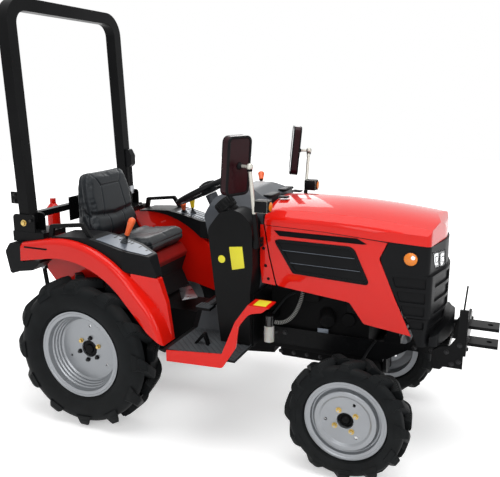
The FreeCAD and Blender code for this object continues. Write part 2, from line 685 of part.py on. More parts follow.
def build_nose_guard():
    """The fixed lower nose: a slotted wall on a floor plate, with a lip that flares forwards."""
    band = prism("guard_band", "side",
                 [[(1800, 721), (1584, 721), (1616, 650), (1640, 590), (1800, 590)]], -300, 300)
    whole = shared("guard_walls", skirt_wall("_guard", 10, 10 + size.mask_wall, 13), band)
    wall = slotted("guard_wall", whole, [(672, 708)], 1590, 13, depth=18)
    lip = shared("guard_lip", skirt_form("_lip", 12, 64),
                 prism("guard_lip_side", "side",
                       [[(1690, 600), (1690, 640), (1744, 668, 30), (1780, 700, 10), (1794, 700, 5),
                         (1796, 640, 20), (1765, 600)]], -300, 300))
    base = shared("guard_base", skirt_form("_base", 14, 13),
                  block("guard_base_band", (1640, 1800), (-300, 300), (590, 602)))
    inside = cut("guard_lip_front", lip, skirt_form("_behind_lip", 20, 13))
    node("nose_guard", joined("guard_parts", wall, inside, base))


# ---- operator station -------------------------------------------------------------------------

FENDER_TOP = [(-357, 953), (97, 1038, 530), (431, 647, 390), (474, 508)]
FENDER_BOTTOM = [(-364, 856), (70, 927, 480), (392, 563, 190), (472, 507)]
FENDER_LINE = [(-397, 945.5), *FENDER_TOP[1:-1], (477, 498)]
FENDER_BLOCK = FENDER_LINE + [(500, 400), (-397, 400)]
FENDER_KEPT = [(-352, 1100), *FENDER_BOTTOM, (560, 507), (560, 1100)]


def build_fenders():
    outer, inner, thick = -size.fender_outer, -size.fender_inner, size.sheet
    section = [(outer, -130), (outer, 0, 28), (inner, 0), (inner, -thick), (outer + thick, -thick, 23),
               (outer + thick, -130)]
    rolled = swept("fender_roll", FENDER_LINE, section)
    kept = prism("fender_kept", "side", [FENDER_KEPT], -560, -330)
    taper = prism("fender_taper", "top",
                  [[(336, -320), (336, inner), (462, -412), (520, -412), (520, -320)]], 480, 1050)
    top = cut("fender_skin", shared("fender_trimmed", rolled, kept), taper)
    wall_plan = prism("fender_wall_plan", "top",
                      [[(-357, inner - thick), (-357, inner), (336, inner), (462, -412), (462, -418),
                        (333, inner - thick)]], 480, 1050)
    wall_side = prism("fender_wall_side", "side",
                      [FENDER_TOP + [(474, 506), (420, 500, 60), (180, 560, 200), (-180, 560, 200),
                                     (-357, 760)]], -420, -330)
    below = prism("fender_underside", "side", [FENDER_BLOCK], -540, -300)
    brow = prism("fender_brow_block", "side",
                 [[(270, 700), (280, 845), (412, 822, 10), (450, 700, 60), (473, 520), (440, 400),
                   (270, 400)]], -500, -414)
    brow_taper = prism("fender_brow_taper", "top",
                       [[(240, -505), (240, -560), (480, -560), (480, -435)]], 400, 1100)
    brow = cut("fender_brow", brow, below, brow_taper, taper)
    wall = shared("fender_wall", wall_plan, wall_side)
    right = node("fender_right", joined("fender_panels", top, wall, brow))
    node("fender_left", mirrored("fender_panels_left", right))

    raised = prism("console_block", "side",
                   [[(-180, 900), (-180, 994, 6), (-60, 1002, 60), (30, 1004, 60), (110, 990, 100),
                     (262, 953, 60), (372, 932, 16), (412, 822, 10), (280, 845), (60, 900)]],
                   -505, 20 - size.fender_inner)
    narrow = prism("console_taper", "top", [[(240, -505), (240, -560), (480, -560), (480, -435)]], 700, 1100)
    inner_narrow = prism("console_inner_taper", "top",
                         [[(250, -300), (250, -320), (440, -425), (520, -425), (520, -300)]], 700, 1100)
    console = cut("console_right", raised, below, narrow, inner_narrow, brow)
    consoles = node("fender_consoles", pair("console_pair", console))
    bar = prism("grab_bar", "side",
                [[(-232, 940), (-210, 1050, 12), (-5, 1073, 14), (56, 990)],
                 [(-196, 990), (-187, 1033, 6), (-15, 1052, 6), (22, 1000)]], -478, -460)
    node("grab_handles", pair("grab_pair", cut("grab_right", bar, raised, below)))
    return consoles


def build_floor():
    floor = size.floor_height
    plate = prism("floor_plate", "front",
                  [[(-545, floor - 6), (-545, floor), (-220, floor), (-150, 596, 20), (150, 596, 20),
                    (220, floor), (545, floor), (545, floor - 6), (216, floor - 6), (146, 590, 20),
                    (-146, 590, 20), (-216, floor - 6)]], 476, 862)
    front_wall = prism("toe_board", "front",
                       [[(-330, floor - 6), (-330, 760), (330, 760), (330, floor - 6), (216, floor - 6),
                         (146, 590, 20), (-146, 590, 20), (-216, floor - 6)]], 862, 868)
    hanger = block("floor_hanger_right", (600, 660), (-440, -118), (floor - 46, floor - 6))
    node("platform", joined("floor_panels", plate, front_wall, hanger, mirrored("floor_hanger_left", hanger)))
    mat = length(size.mat)
    node("floor_mat", prism("rubber_mat", "front",
                            [[(-540, floor), (-540, floor + mat), (-223, floor + mat), (-153, 596 + mat, 20),
                              (153, 596 + mat, 20), (223, floor + mat), (540, floor + mat), (540, floor),
                              (220, floor), (150, 596, 20), (-150, 596, 20), (-220, floor)]], 505, 858))
    rail = prism("sill_rail", "side",
                 [[(503, 446), (503, 502), (798, 530), (868, 700, 60), (930, 787), (1030, 787),
                   (1000, 760, 20), (935, 745, 60), (886, 679, 60), (872, 573, 60), (801, 460, 25)]],
                 -552, -546)
    top = block("sill_top", (930, 1030), (-552, -455), (781, 787))
    node("sills", pair("sill_pair", joined("sill_right", rail, top)))


def build_seat():
    node("seat_base", cut("seat_pedestal",
                          prism("seat_pedestal_block", "side",
                                [[(-330, 596), (-330, 690, 20), (-210, 850, 20), (190, 850, 20),
                                  (230, 800, 20), (190, 690, 30), (235, 596), (-155, 596)]], -190, 190),
                          rod("rock_shaft_bore", "y", size.arm_pin_x, -191, size.arm_pin_z,
                              22 + size.running_gap, 382)))
    half = size.seat_half
    pad = prism("cushion", "side",
                [[(-104, 851), (-104, 925, 25), (-20, 922, 200), (225, 950, 32), (235, 880, 30),
                  (180, 851, 20)]], -half, half)
    plan = prism("cushion_plan", "top",
                 [[(-110, -half, 25), (-110, half, 25), (240, half, 85), (240, -half, 85)]], 840, 960)
    node("seat_cushion", shared("cushion_form", pad, plan))
    rest = prism("backrest", "side",
                 [[(-152, 851, 12), (-112, 960, 60), (-194, 1300, 24), (-250, 1294, 22),
                   (-252, 1000, 60), (-205, 851, 12)]], -half, half)
    outline = prism("backrest_outline", "front",
                    [[(-195, 845, 40), (-half, 960, 200), (-half, 1180, 300), (-185, 1305, 80),
                      (185, 1305, 80), (half, 1180, 300), (half, 960, 200), (195, 845, 40)]], -300, -60)
    node("seat_back", shared("backrest_form", rest, outline))


def build_dash():
    body = prism("cowl_block", "side",
                 [[(640, 602), (605, 900), (560, 1110, 30), (600, 1200, 40), (690, 1248, 60), (780, 1250, 90),
                   (880, 1208), (880, 800), (861, 770), (861, 602)]], -235, 235)
    arch = prism("cowl_arch", "front",
                 [[(-235, 600), (-235, 1150, 70), (-150, 1250, 90), (150, 1250, 90), (235, 1150, 70),
                   (235, 600)]], 550, 890)
    cowl = shared("cowl_form", body, arch)
    slope = math.radians(float(size.wheel_tilt))
    along = Vector(math.sin(slope), 0, -math.cos(slope))
    hub = Vector(float(size.wheel_x), 0, float(size.wheel_z))
    column = slanted_rod("column_tube", hub + along * 30, hub + along * 200, 32)
    cowl = node("dash_cowl", joined("dash_parts", cowl, column))
    tank = prism("tank_block", "side",
                 [[(705, 510), (640, 1075, 60), (705, 1160, 60), (800, 1182, 80), (872, 1110, 90), (875, 900),
                   (861, 765), (861, 510)]], -360, -236)
    neck = slanted_rod("tank_neck", (775, -298, 1110), (722, -298, 1172), 42)
    cap = slanted_rod("tank_cap", (722, -298, 1172), (692, -298, 1206), 47)
    node("fuel_tank", joined("tank_parts", tank, neck, cap))

    ring = doc.addObject("Part::Torus", "wheel_ring")
    ring.setExpression("Radius1", (size.wheel_radius - size.wheel_rim).formula)
    ring.setExpression("Radius2", size.wheel_rim.formula)
    boss = doc.addObject("Part::Cylinder", "wheel_boss")
    boss.Radius, boss.Height = 42, 50
    boss.Placement.Base = Vector(0, 0, -25)
    spokes = []
    for number in range(3):
        spoke = doc.addObject("Part::Box", f"wheel_spoke_{number}")
        spoke.Length, spoke.Width, spoke.Height = 145, 30, 10
        turn = Rotation(Vector(0, 0, 1), 180 + number * 120)
        spoke.Placement = FreeCAD.Placement(turn.multVec(Vector(30, -15, -5)), turn)
        spokes.append(spoke)
    wheel = joined("wheel_parts", ring, boss, *spokes)
    wheel.Placement = FreeCAD.Placement(Vector(), Rotation(Vector(0, 1, 0), -float(size.wheel_tilt)))
    node("steering_wheel", place(wheel, rear_axle_x + size.wheel_x, 0, size.wheel_z))
    return cowl


def hoop_x(z):
    """The roll bar leans rearwards above its pivot: the middle of its tube at a height."""
    rise = (float(z) - float(size.hoop_pivot_z)) / (float(size.hoop_top) - float(size.hoop_pivot_z))
    return size.hoop_pivot_x - size.hoop_lean * rise


def build_roll_bar():
    half, tube = size.hoop_half, size.hoop_tube
    inner = half - tube
    pivot_x, pivot_z, top = size.hoop_pivot_x, size.hoop_pivot_z, size.hoop_top
    outline = prism("hoop_outline", "front",
                    [[(-half, pivot_z), (-half, top, 130), (half, top, 130), (half, pivot_z), (inner, pivot_z),
                      (inner, top - tube, 70), (-inner, top - tube, 70), (-inner, pivot_z)]], -480, -300)
    depth = tube * 0.5
    lean = prism("hoop_lean", "side",
                 [[(pivot_x - depth, pivot_z), (pivot_x + depth, pivot_z), (hoop_x(top) + depth, top),
                   (hoop_x(top) - depth, top)]], -half, half)
    foot = rod("hoop_foot", "y", pivot_x, -half, pivot_z, depth, tube)
    catch = block("hoop_catch", (-496, -390), (-431, -423), (1135, 1198))
    side = joined("hoop_side", foot, catch)
    bore = rod("hoop_bore", "y", pivot_x, -half - 5, pivot_z, 8 + size.running_gap, (half + 5) * 2)
    node("rops_hoop", cut("hoop", joined("hoop_parts", shared("hoop_arch", outline, lean), side,
                                         mirrored("hoop_side_left", side)), bore))

    low, high = hoop_x(1245) + depth, hoop_x(1358) + depth
    node("belt_reel", prism("reel_case", "side",
                            [[(low, 1245), (high, 1358), (high + 26, 1358, 12), (low + 42, 1320, 20),
                              (low + 42, 1262, 12), (low + 22, 1245, 8)]], 432, 478))

    shoe = block("hoop_shoe", (-436, -236), (-500, -322), (950, 1004))
    cheek_line = [(-430, 1004), (-430, 1095, 20), (-292, 1095, 20), (-292, 1004)]
    outer_cheek = prism("outer_cheek", "side", [cheek_line], -498, -490)
    inner_cheek = prism("inner_cheek", "side", [cheek_line], -419, -411)
    pin = rod("hoop_pin", "y", pivot_x, -498, pivot_z, 8, 88)
    strut = prism("hoop_strut", "side",
                  [[(-50, 440), (55, 440), (55, 520), (-236, 950), (-236, 1004), (-436, 1004), (-436, 940),
                    (-300, 830)]], -334, -322)
    right = joined("hoop_base_right", shoe, outer_cheek, inner_cheek, pin, strut)
    bar = block("seat_crossbar", (-380, -344), (-412, 412), (1062, 1094))
    board = block("seat_board", (-344, -338), (-150, 150), (1000, 1135))
    whole = joined("hoop_base_parts", right, mirrored("hoop_base_left", right), bar, board)
    trumpets = rod("strut_seat", "y", 0, -400, size.rear_tyre_radius, 62, 800)
    fender_line = prism("fender_line", "side", [FENDER_BLOCK], -size.fender_outer, size.fender_outer)
    clear = cut("shoe_seat", fender_line, block("between_fenders", (-400, 600), (-340, 340), (400, 1100)))
    node("rops_base", cut("hoop_base", whole, trumpets, clear))


def build_lamps_and_mirrors():
    rear = prism("rear_lamp_block", "side",
                 [[(-462, 900, 20), (-428, 948, 18), (-350, 948), (-350, 852), (-300, 862), (-225, 870, 8),
                   (-285, 812, 30), (-374, 798, 30), (-436, 778, 15)]], -540, -440)
    fender = prism("lamp_seat", "side", [FENDER_KEPT], -545, -435)
    node("rear_lamps", pair("rear_lamp_pair", cut("rear_lamp_right", rear, fender)))
    lamp = block("side_lamp_right", (898, 962), (-400, -345), (1180, 1235))
    stalk = slanted_rod("mirror_stalk_right", (895, -350, 1005), (892, -435, 1393), 9)
    ball = doc.addObject("Part::Sphere", "mirror_ball_right")
    ball.Radius = 16
    place(ball, rear_axle_x + 892, -435, 1393)
    arm = slanted_rod("mirror_arm_right", (892, -435, 1393), (835, -420, 1393), 7)
    foot = block("stalk_foot", (882, 900), (-365, -280), (1000, 1040))
    node("mirror_posts", pair("mirror_post_pair", joined("mirror_post_right", lamp, stalk, ball, arm, foot)))
    head = prism("mirror_head_right", "front",
                 [[(-72, -135, 30), (-72, 135, 30), (72, 135, 30), (72, -135, 30)]], 0, 38)
    head.Placement.Rotation = Rotation(Vector(0, 0, 1), -22) * Rotation(Vector(0, 1, 0), 5)
    middle = head.Placement.Rotation.multVec(Vector(-17, 0, 0))
    place(head, rear_axle_x + 815 + middle.x, -415 + middle.y, 1395)
    node("mirrors", pair("mirror_pair", cut("mirror_shell_right", head, arm)))
    glass = rod("cab_signal_right", "x", 962, -372, 1207, 21, 7)
    node("cab_signals", pair("cab_signal_pair", glass))


def build_controls(cowl, consoles):
    """Pedals on arms from the dash, a rocking treadle on the floor, and the hand levers."""
    pedals = []
    for name, y in (("brake", -285), ("clutch", 285)):
        pad = block(name + "_pad", (545, 625), (y - 35, y + 35), (640, 654))
        arm = slanted_rod(name + "_arm", (600, y, 642), (680, y * 0.72, 706), 10)
        pedals.append(joined(name + "_pedal", pad, arm))
    treadle = prism("treadle", "side",
                    [[(592, 506), (640, 566), (652, 566), (672, 506), (660, 506), (645, 548), (606, 506)]],
                    -432, -408)
    node("pedals", cut("pedal_set", joined("pedal_parts", *pedals, treadle), cowl))
    levers = []
    for name, start, end in (("lift", (186, -400, 952), (239, -400, 1088)),
                             ("range", (108, 380, 965), (122, 350, 1046)),
                             ("gear", (150, 420, 960), (156, 400, 1068)),
                             ("throttle", (700, 190, 1160), (655, 300, 1262))):
        stem = slanted_rod(name + "_stem", start, end, 7)
        knob = doc.addObject("Part::Sphere", name + "_knob")
        knob.Radius = 17
        place(knob, rear_axle_x + end[0], end[1], end[2])
        levers.append(joined(name + "_lever", stem, knob))
    node("levers", cut("lever_set", joined("lever_parts", *levers), cowl, consoles))


def build_fuel_line():
    bowl = rod("filter_bowl", "z", 935, -290, 520, 25, 85)
    head = rod("filter_head", "z", 935, -290, 605, 27, 50)
    bracket = block("filter_bracket", (905, 945), (-290, -160), (615, 640))
    union = joined("hose_union", rod("union_socket", "z", 1092, -240, 842, 13, 24),
                   rod("union_pipe", "y", 1092, -240, 854, 9, 80))
    node("fuel_filter", joined("filter_parts", bowl, head, bracket, union))
    node("fuel_hose", tube("hose_tube", HOSE, 8))


HOSE = [(962.3, -290, 622), (990, -290, 622), (1016, -288, 630), (1042, -284, 648), (1064, -278, 677),
        (1080, -268, 715), (1090, -256, 757), (1092, -240, 800), (1092, -240, 842)]


# ---- rear hitch -------------------------------------------------------------------------------

def build_hitch():
    pin_x, pin_z = size.link_pin_x, size.link_pin_z
    reach, rise = size.link_reach, size.link_rise
    end_x, end_z = pin_x - reach, pin_z + rise
    link = slanted_bar("link_bar", pin_x, pin_z, end_x, end_z, 22, -275, -255)
    eyes = joined("link_eyes", rod("link_front_eye", "y", pin_x, -280, pin_z, 30, 30),
                  rod("link_ball", "y", end_x, -284, end_z, 32, 38))
    stub_x, stub_z = pin_x - reach * 0.58, pin_z + rise * 0.58
    stub = rod("link_stub", "y", stub_x, -298, stub_z, 8, 30)
    holes = joined("link_holes", rod("link_front_hole", "y", pin_x, -300, pin_z, 12 + size.running_gap, 60),
                   rod("link_ball_hole", "y", end_x, -300, end_z, 11.2, 60))
    node("lower_links", pair("lower_link_pair", cut("lower_link_right",
                                                    joined("lower_link_parts", link, eyes, stub), holes)))

    arm_x, arm_z = size.arm_pin_x, size.arm_pin_z
    arm_end_x, arm_end_z = arm_x - reach * 0.58, arm_z + rise * 0.58
    arm = slanted_bar("arm_bar", arm_x, arm_z, arm_end_x, arm_end_z, 24, -262, -244)
    arm_parts = joined("lift_arm_right", arm, rod("arm_boss", "y", arm_x, -264, arm_z, 34, 64),
                       rod("arm_stub", "y", arm_end_x, -298, arm_end_z, 8, 44))
    shaft = rod("rock_shaft", "y", arm_x, -264, arm_z, 22, 528)
    node("lift_arms", joined("lift_arm_pair", arm_parts, mirrored("lift_arm_left", arm_parts), shaft))

    gap = size.running_gap + 8
    bar = slanted_bar("rod_bar", stub_x, stub_z, arm_end_x, arm_end_z, 11, -293, -281)
    rod_eyes = joined("rod_eyes", rod("rod_lower_eye", "y", stub_x, -293, stub_z, 18, 12),
                      rod("rod_upper_eye", "y", arm_end_x, -293, arm_end_z, 18, 12))
    rod_holes = joined("rod_holes", rod("rod_lower_hole", "y", stub_x, -299, stub_z, gap, 30),
                       rod("rod_upper_hole", "y", arm_end_x, -299, arm_end_z, gap, 30))
    node("lift_rods", pair("lift_rod_pair", cut("lift_rod_right", joined("lift_rod_parts", bar, rod_eyes),
                                                rod_holes)))

    bracket = block("top_link_bracket", (-560, -330), (-45, -33), (610, 680))
    bracket_left = mirrored("top_link_bracket_left", bracket)
    bracket_pin = rod("top_link_pin", "y", -535, -45, 650, 10, 90)
    node("hitch_bracket", joined("hitch_bracket_parts", bracket, bracket_left, bracket_pin,
                                 block("hitch_bracket_back", (-342, -330), (-45, 45), (596, 690))))
    stowed = slanted_bar("top_link_end", -535, 650, -582, 790, 16, -14, 14)
    barrel = turned("top_link_barrel",
                    [[(0, -20), (16, -20), (38, 10), (38, 245), (18, 270), (18, 300), (0, 300)]],
                    -582, 0, 791, about="V_Axis")
    node("top_link", cut("top_link_body", joined("top_link_parts", stowed, barrel,
                                                 rod("top_link_eye", "y", -535, -20, 650, 26, 40)),
                         rod("top_link_hole", "y", -535, -30, 650, 10 + size.running_gap, 60)))
    tongue = block("drawbar_plate", (-size.rear_reach, 0), (-30, 30), (240, 258))
    hanger = block("drawbar_hanger", (-120, -20), (-40, 40), (258, 290))
    node("drawbar", cut("drawbar_parts", joined("drawbar_pieces", tongue, hanger),
                        rod("drawbar_hole", "z", -585, 0, 230, 11, 40)))


def slanted_bar(name, x1, z1, x2, z2, half_width, low, high):
    """A flat bar between two pins in the side view, with its ends square to its run."""
    run = Vector(float(x2) - float(x1), float(z2) - float(z1), 0).normalize() * half_width
    return prism(name, "side",
                 [[(x1 - run.y, z1 + run.x), (x1 + run.y, z1 - run.x), (x2 + run.y, z2 - run.x),
                   (x2 - run.y, z2 + run.x)]], low, high)


# ---- build, check and write -------------------------------------------------------------------

build_drive_line()
build_wheels()
build_front_axle()
build_hood()
build_nose_guard()
consoles = build_fenders()
build_floor()
build_seat()
cowl = build_dash()
build_roll_bar()
build_lamps_and_mirrors()
build_controls(cowl, consoles)
build_fuel_line()
build_hitch()

doc.recompute()
for thing in doc.Objects:
    if "Invalid" in thing.State or "Error" in thing.State:
        raise RuntimeError(f"{thing.Name} did not build: {thing.State}")

os.makedirs("parts", exist_ok=True)
for thing in NODES:
    shape = thing.Shape
    if shape.isNull() or not shape.isValid() or not shape.Solids:
        raise RuntimeError(f"{thing.Label} has no valid solid")
    shape.exportStep(os.path.join("parts", thing.Label + ".step"))
    print(f"{thing.Label}: {len(shape.Solids)} solid(s), {shape.Volume / 1e6:.2f} litres")
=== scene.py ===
# %% [markdown]
# # A compact tractor with an open operator station
# The solids of the tractor come ready made, at their real places.  This lesson dresses them:
# it sets up a camera and a studio, mixes the paints, plastics and rubbers from noise and
# coordinates, and models the forms that are softer or finer than the solids, such as the tyres,
# the seat and the bolts.  Lengths are metres; +X is forward, +Y the tractor's left, +Z up.

# %% Load the frame
import json
import math

import bmesh
import bpy
from mathutils import Matrix, Vector


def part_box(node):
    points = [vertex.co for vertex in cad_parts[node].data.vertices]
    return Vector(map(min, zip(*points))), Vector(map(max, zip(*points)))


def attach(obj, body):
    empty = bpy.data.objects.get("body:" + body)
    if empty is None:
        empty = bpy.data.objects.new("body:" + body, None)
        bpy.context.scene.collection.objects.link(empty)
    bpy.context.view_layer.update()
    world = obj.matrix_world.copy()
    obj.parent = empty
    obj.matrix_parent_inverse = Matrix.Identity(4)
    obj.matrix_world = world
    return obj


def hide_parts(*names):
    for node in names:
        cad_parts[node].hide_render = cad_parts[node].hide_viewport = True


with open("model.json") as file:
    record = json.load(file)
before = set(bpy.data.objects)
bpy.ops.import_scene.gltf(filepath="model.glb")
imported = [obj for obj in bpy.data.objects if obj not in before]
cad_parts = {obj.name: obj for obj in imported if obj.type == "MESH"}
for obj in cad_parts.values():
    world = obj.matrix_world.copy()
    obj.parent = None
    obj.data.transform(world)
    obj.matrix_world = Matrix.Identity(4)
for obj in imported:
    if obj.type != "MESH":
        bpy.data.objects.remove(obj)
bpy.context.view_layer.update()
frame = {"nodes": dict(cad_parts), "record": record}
nodes = frame["nodes"]

# %% [markdown]
# ## Where things are
# The rear wheels' own box gives the rear axle's line, and most places on a tractor are easiest
# to give from there: forwards along the machine, out to one side, and up from the ground.

# %% Places
tyre_low, tyre_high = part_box("rear_tyre_right")
AXLE_X = (tyre_low[0] + tyre_high[0]) / 2
SIDES = {"right": -1, "left": 1}
SIDEWAYS, UP = Vector((0, 1, 0)), Vector((0, 0, 1))


def at(x, y, z):
    """A point given from the rear axle's line, the middle of the tractor and the ground."""
    return Vector((AXLE_X + x, y, z))


print("rear axle at X =", round(AXLE_X, 3))

# %% [markdown]
# ## Camera
# The tractor is seen from its right front quarter, from a standing person's eye height, with a
# moderately short lens.  A camera looks along its own -Z, so its turn is built from the
# direction of view: yaw about the vertical first, then a pitch downwards.

# %% Camera
SENSOR_WIDTH, LENS, FAR_CLIP = 36.0, 45.57, 60.0
YAW, PITCH = math.radians(112.7), math.radians(-13.07)
scene = bpy.context.scene
camera_data = bpy.data.cameras.new("viewpoint")
camera_data.sensor_width, camera_data.lens, camera_data.clip_end = SENSOR_WIDTH, LENS, FAR_CLIP
camera = bpy.data.objects.new("viewpoint", camera_data)
scene.collection.objects.link(camera)
camera.location = at(1.979, -3.030, 1.719)
view_direction = Vector((math.cos(YAW) * math.cos(PITCH), math.sin(YAW) * math.cos(PITCH), math.sin(PITCH)))
camera.rotation_euler = view_direction.to_track_quat("-Z", "Y").to_euler()
scene.camera = camera
print("camera looks along", [round(value, 3) for value in view_direction])

# %% [markdown]
# ## Studio
# A pale floor catches the shadow, and big soft lamps wrap the shiny hood in broad highlights, as
# in a product studio.  What shows behind the tractor is plain white.  The Light Path node tells
# rays from the camera, from glossy surfaces and through glass from all others: those see a white
# world, while the light that falls on the tractor stays even and much dimmer.  The floor does the
# same, more and more with distance, so it keeps the shadow and then runs out into white.

# %% Studio
WHITE, PALE = (1, 1, 1, 1), (0.9, 0.9, 0.9, 1)
SKY_LIGHT, FLOOR_RADIUS = 0.42, 14
scene.view_settings.view_transform = "Standard"


def add(tree, kind, links=(), **settings):
    """A node with its settings, fed by links: pairs of an input's name or number and a source."""
    node = tree.nodes.new("ShaderNode" + kind)
    for name, value in settings.items():
        setattr(node, name, value)
    for key, source in links:
        if hasattr(source, "is_output"):
            tree.links.new(source, node.inputs[key])
        else:
            node.inputs[key].default_value = source
    return node


def calc(tree, operation, first, second, **settings):
    """The result of a Math node on two sources."""
    return add(tree, "Math", [(0, first), (1, second)], operation=operation, **settings).outputs[0]


def seen_directly(tree):
    """A value of 1 for rays from the camera, from glossy surfaces and through glass."""
    path = add(tree, "LightPath").outputs
    total = path["Is Camera Ray"]
    for name in ("Is Glossy Ray", "Is Transmission Ray"):
        total = calc(tree, "MAXIMUM", total, path[name])
    return total


def mesh_from(name, form):
    """A mesh made from a bmesh, which is freed."""
    mesh = bpy.data.meshes.new(name)
    form.to_mesh(mesh)
    form.free()
    return mesh


def area_lamp(name, place, aim, size, watts):
    """A soft square lamp that points at a spot."""
    data = bpy.data.lights.new(name, "AREA")
    data.energy, data.size = watts, size
    lamp = bpy.data.objects.new(name, data)
    scene.collection.objects.link(lamp)
    lamp.location = place
    lamp.rotation_euler = (Vector(aim) - Vector(place)).to_track_quat("-Z", "Y").to_euler()


world = bpy.data.worlds.new("studio")
scene.world = world
world.use_nodes = True
sky = world.node_tree
background = sky.nodes["Background"].inputs
background["Color"].default_value = WHITE
level = add(sky, "MapRange", [("Value", seen_directly(sky)), ("To Min", SKY_LIGHT), ("To Max", 1.0)])
sky.links.new(level.outputs["Result"], background["Strength"])
area_lamp("lamp_above", (0.2, -0.6, 4.6), (0, 0, 0.6), 3.2, 120)
area_lamp("lamp_right", (0.8, -4.4, 2.6), (0, 0, 0.7), 2.4, 60)
area_lamp("lamp_front", (4.2, -1.6, 2.4), (0.4, 0, 0.7), 2.0, 40)
area_lamp("lamp_left", (-2.0, 4.0, 3.0), (0, 0, 0.8), 2.4, 40)

floor_form = bmesh.new()
bmesh.ops.create_circle(floor_form, cap_ends=True, segments=64, radius=FLOOR_RADIUS)
floor = bpy.data.objects.new("studio_floor", mesh_from("studio_floor", floor_form))
scene.collection.objects.link(floor)
floor_finish = bpy.data.materials.new("studio_floor")
floor_finish.use_nodes = True
tree = floor_finish.node_tree
paint = tree.nodes["Principled BSDF"].inputs
for name, value in (("Base Color", PALE), ("Roughness", 0.9), ("Emission Color", WHITE)):
    paint[name].default_value = value
from_middle = add(tree, "VectorMath", [(0, add(tree, "TexCoord").outputs["Object"])], operation="LENGTH")
fade = add(tree, "MapRange", [("Value", from_middle.outputs["Value"]), ("From Min", 1.2), ("From Max", 3.6),
                              ("To Min", 0.4), ("To Max", 1.0)], interpolation_type="SMOOTHSTEP")
glow = calc(tree, "MULTIPLY", fade.outputs["Result"], seen_directly(tree))
tree.links.new(glow, paint["Emission Strength"])
floor.data.materials.append(floor_finish)
print("studio: 4 lamps, floor", round(floor.dimensions.x), "m wide")

# %% [markdown]
# ## A shader group for every surface
# No real surface has one colour all over.  Paint pools and thins a little, moulded plastic has a
# fine grain, and a roller or a mould leaves faint unevenness in the gloss.  All of these come from
# two noises of different size, so one node group makes them for every finish: it takes a colour,
# a roughness and the strength of each effect, and puts out a varied colour, a varied roughness
# and a height for a Bump node.

# %% The surface group
def new_group(name, inputs, outputs):
    """A node group with its inputs' start values and its outputs' kinds, ready to be filled."""
    tree = bpy.data.node_groups.new(name, "ShaderNodeTree")
    for label, value in inputs.items():
        kind = "NodeSocketFloat" if isinstance(value, float) else "NodeSocketColor"
        tree.interface.new_socket(label, in_out="INPUT", socket_type=kind).default_value = value
    for label, kind in outputs.items():
        tree.interface.new_socket(label, in_out="OUTPUT", socket_type="NodeSocket" + kind)
    return tree, tree.nodes.new("NodeGroupInput").outputs, tree.nodes.new("NodeGroupOutput").inputs


surface_group, given, result = new_group(
    "uneven_surface", {"Colour": (0.5, 0.5, 0.5, 1), "Tone": 0.1, "Tone size": 6.0, "Roughness": 0.5,
                       "Unevenness": 0.1, "Grain size": 900.0},
    {"Colour": "Color", "Roughness": "Float", "Grain": "Float"})
tree = surface_group
place = add(tree, "TexCoord").outputs["Object"]
broad = add(tree, "TexNoise", [("Vector", place), ("Scale", given["Tone size"]), ("Detail", 4.0)])
fine = add(tree, "TexNoise", [("Vector", place), ("Scale", given["Grain size"]), ("Detail", 3.0)])
shift = add(tree, "MapRange", [("Value", broad.outputs[0]), ("From Min", 0.3), ("From Max", 0.7),
                               ("To Min", -1.0), ("To Max", 1.0)]).outputs[0]
light = calc(tree, "ADD", calc(tree, "MULTIPLY", shift, given["Tone"]), 1.0)
colour = add(tree, "VectorMath", [(0, given["Colour"]), ("Scale", light)], operation="SCALE")
spread = calc(tree, "MULTIPLY", shift, given["Unevenness"])
rough = calc(tree, "ADD", spread, given["Roughness"], use_clamp=True)
for name, source in (("Colour", colour.outputs[0]), ("Roughness", rough), ("Grain", fine.outputs[0])):
    tree.links.new(source, result[name])
print("surface group:", len(surface_group.nodes), "nodes")

# %% [markdown]
# ## Soft edges and dust
# A pressed sheet or a casting never has a razor edge: a small radius there catches a line of
# light.  The Bevel node gives such a rounded normal without any more geometry, so a second group
# joins it to the grain's bump.  A third group is the film that handling and the workshop floor
# leave: thicker on faces that look up and near the ground, and broken by noise.

# %% The edge and dust groups
relief_group, given, result = new_group(
    "soft_edge_relief", {"Height": 0.5, "Strength": 0.1, "Distance": 0.0005, "Edge radius": 0.002},
    {"Normal": "Vector"})
rounded = add(relief_group, "Bevel", [("Radius", given["Edge radius"])], samples=4)
relief = add(relief_group, "Bump", [("Height", given["Height"]), ("Strength", given["Strength"]),
                                    ("Distance", given["Distance"]), ("Normal", rounded.outputs[0])])
relief_group.links.new(relief.outputs[0], result["Normal"])

dust_group, given, result = new_group("settled_dust", {"Amount": 0.2, "Reach": 0.4}, {"Mask": "Float"})
tree = dust_group
place = add(tree, "TexCoord").outputs["Object"]
height = add(tree, "SeparateXYZ", [(0, place)]).outputs["Z"]
facing = add(tree, "SeparateXYZ", [(0, add(tree, "NewGeometry").outputs["Normal"])]).outputs["Z"]
near = add(tree, "MapRange", [("Value", height), ("From Min", 0.0), ("From Max", given["Reach"]),
                              ("To Min", 1.0), ("To Max", 0.0)])
upward = add(tree, "MapRange", [("Value", facing), ("From Min", 0.2), ("From Max", 1.0)])
patchy = add(tree, "TexNoise", [("Vector", place), ("Scale", 9.0), ("Detail", 6.0)])
most = calc(tree, "MAXIMUM", near.outputs[0], upward.outputs[0])
broken = calc(tree, "MULTIPLY", most, patchy.outputs[0])
tree.links.new(calc(tree, "MULTIPLY", broken, given["Amount"], use_clamp=True), result["Mask"])
print("groups:", [group.name for group in bpy.data.node_groups])

# %% [markdown]
# ## A finish
# Each finish is its own material with its own Principled shader, and the groups feed it.  What is
# the same all over, such as a clear coat or the metal share, is set on the shader itself.

# %% Make a finish
DUST = (0.16, 0.155, 0.145, 1)
FINISHES = {}


def group(tree, source, **values):
    """A group node whose inputs take these values."""
    node = tree.nodes.new("ShaderNodeGroup")
    node.node_tree = source
    for name, value in values.items():
        node.inputs[name.replace("_", " ").capitalize()].default_value = value
    return node


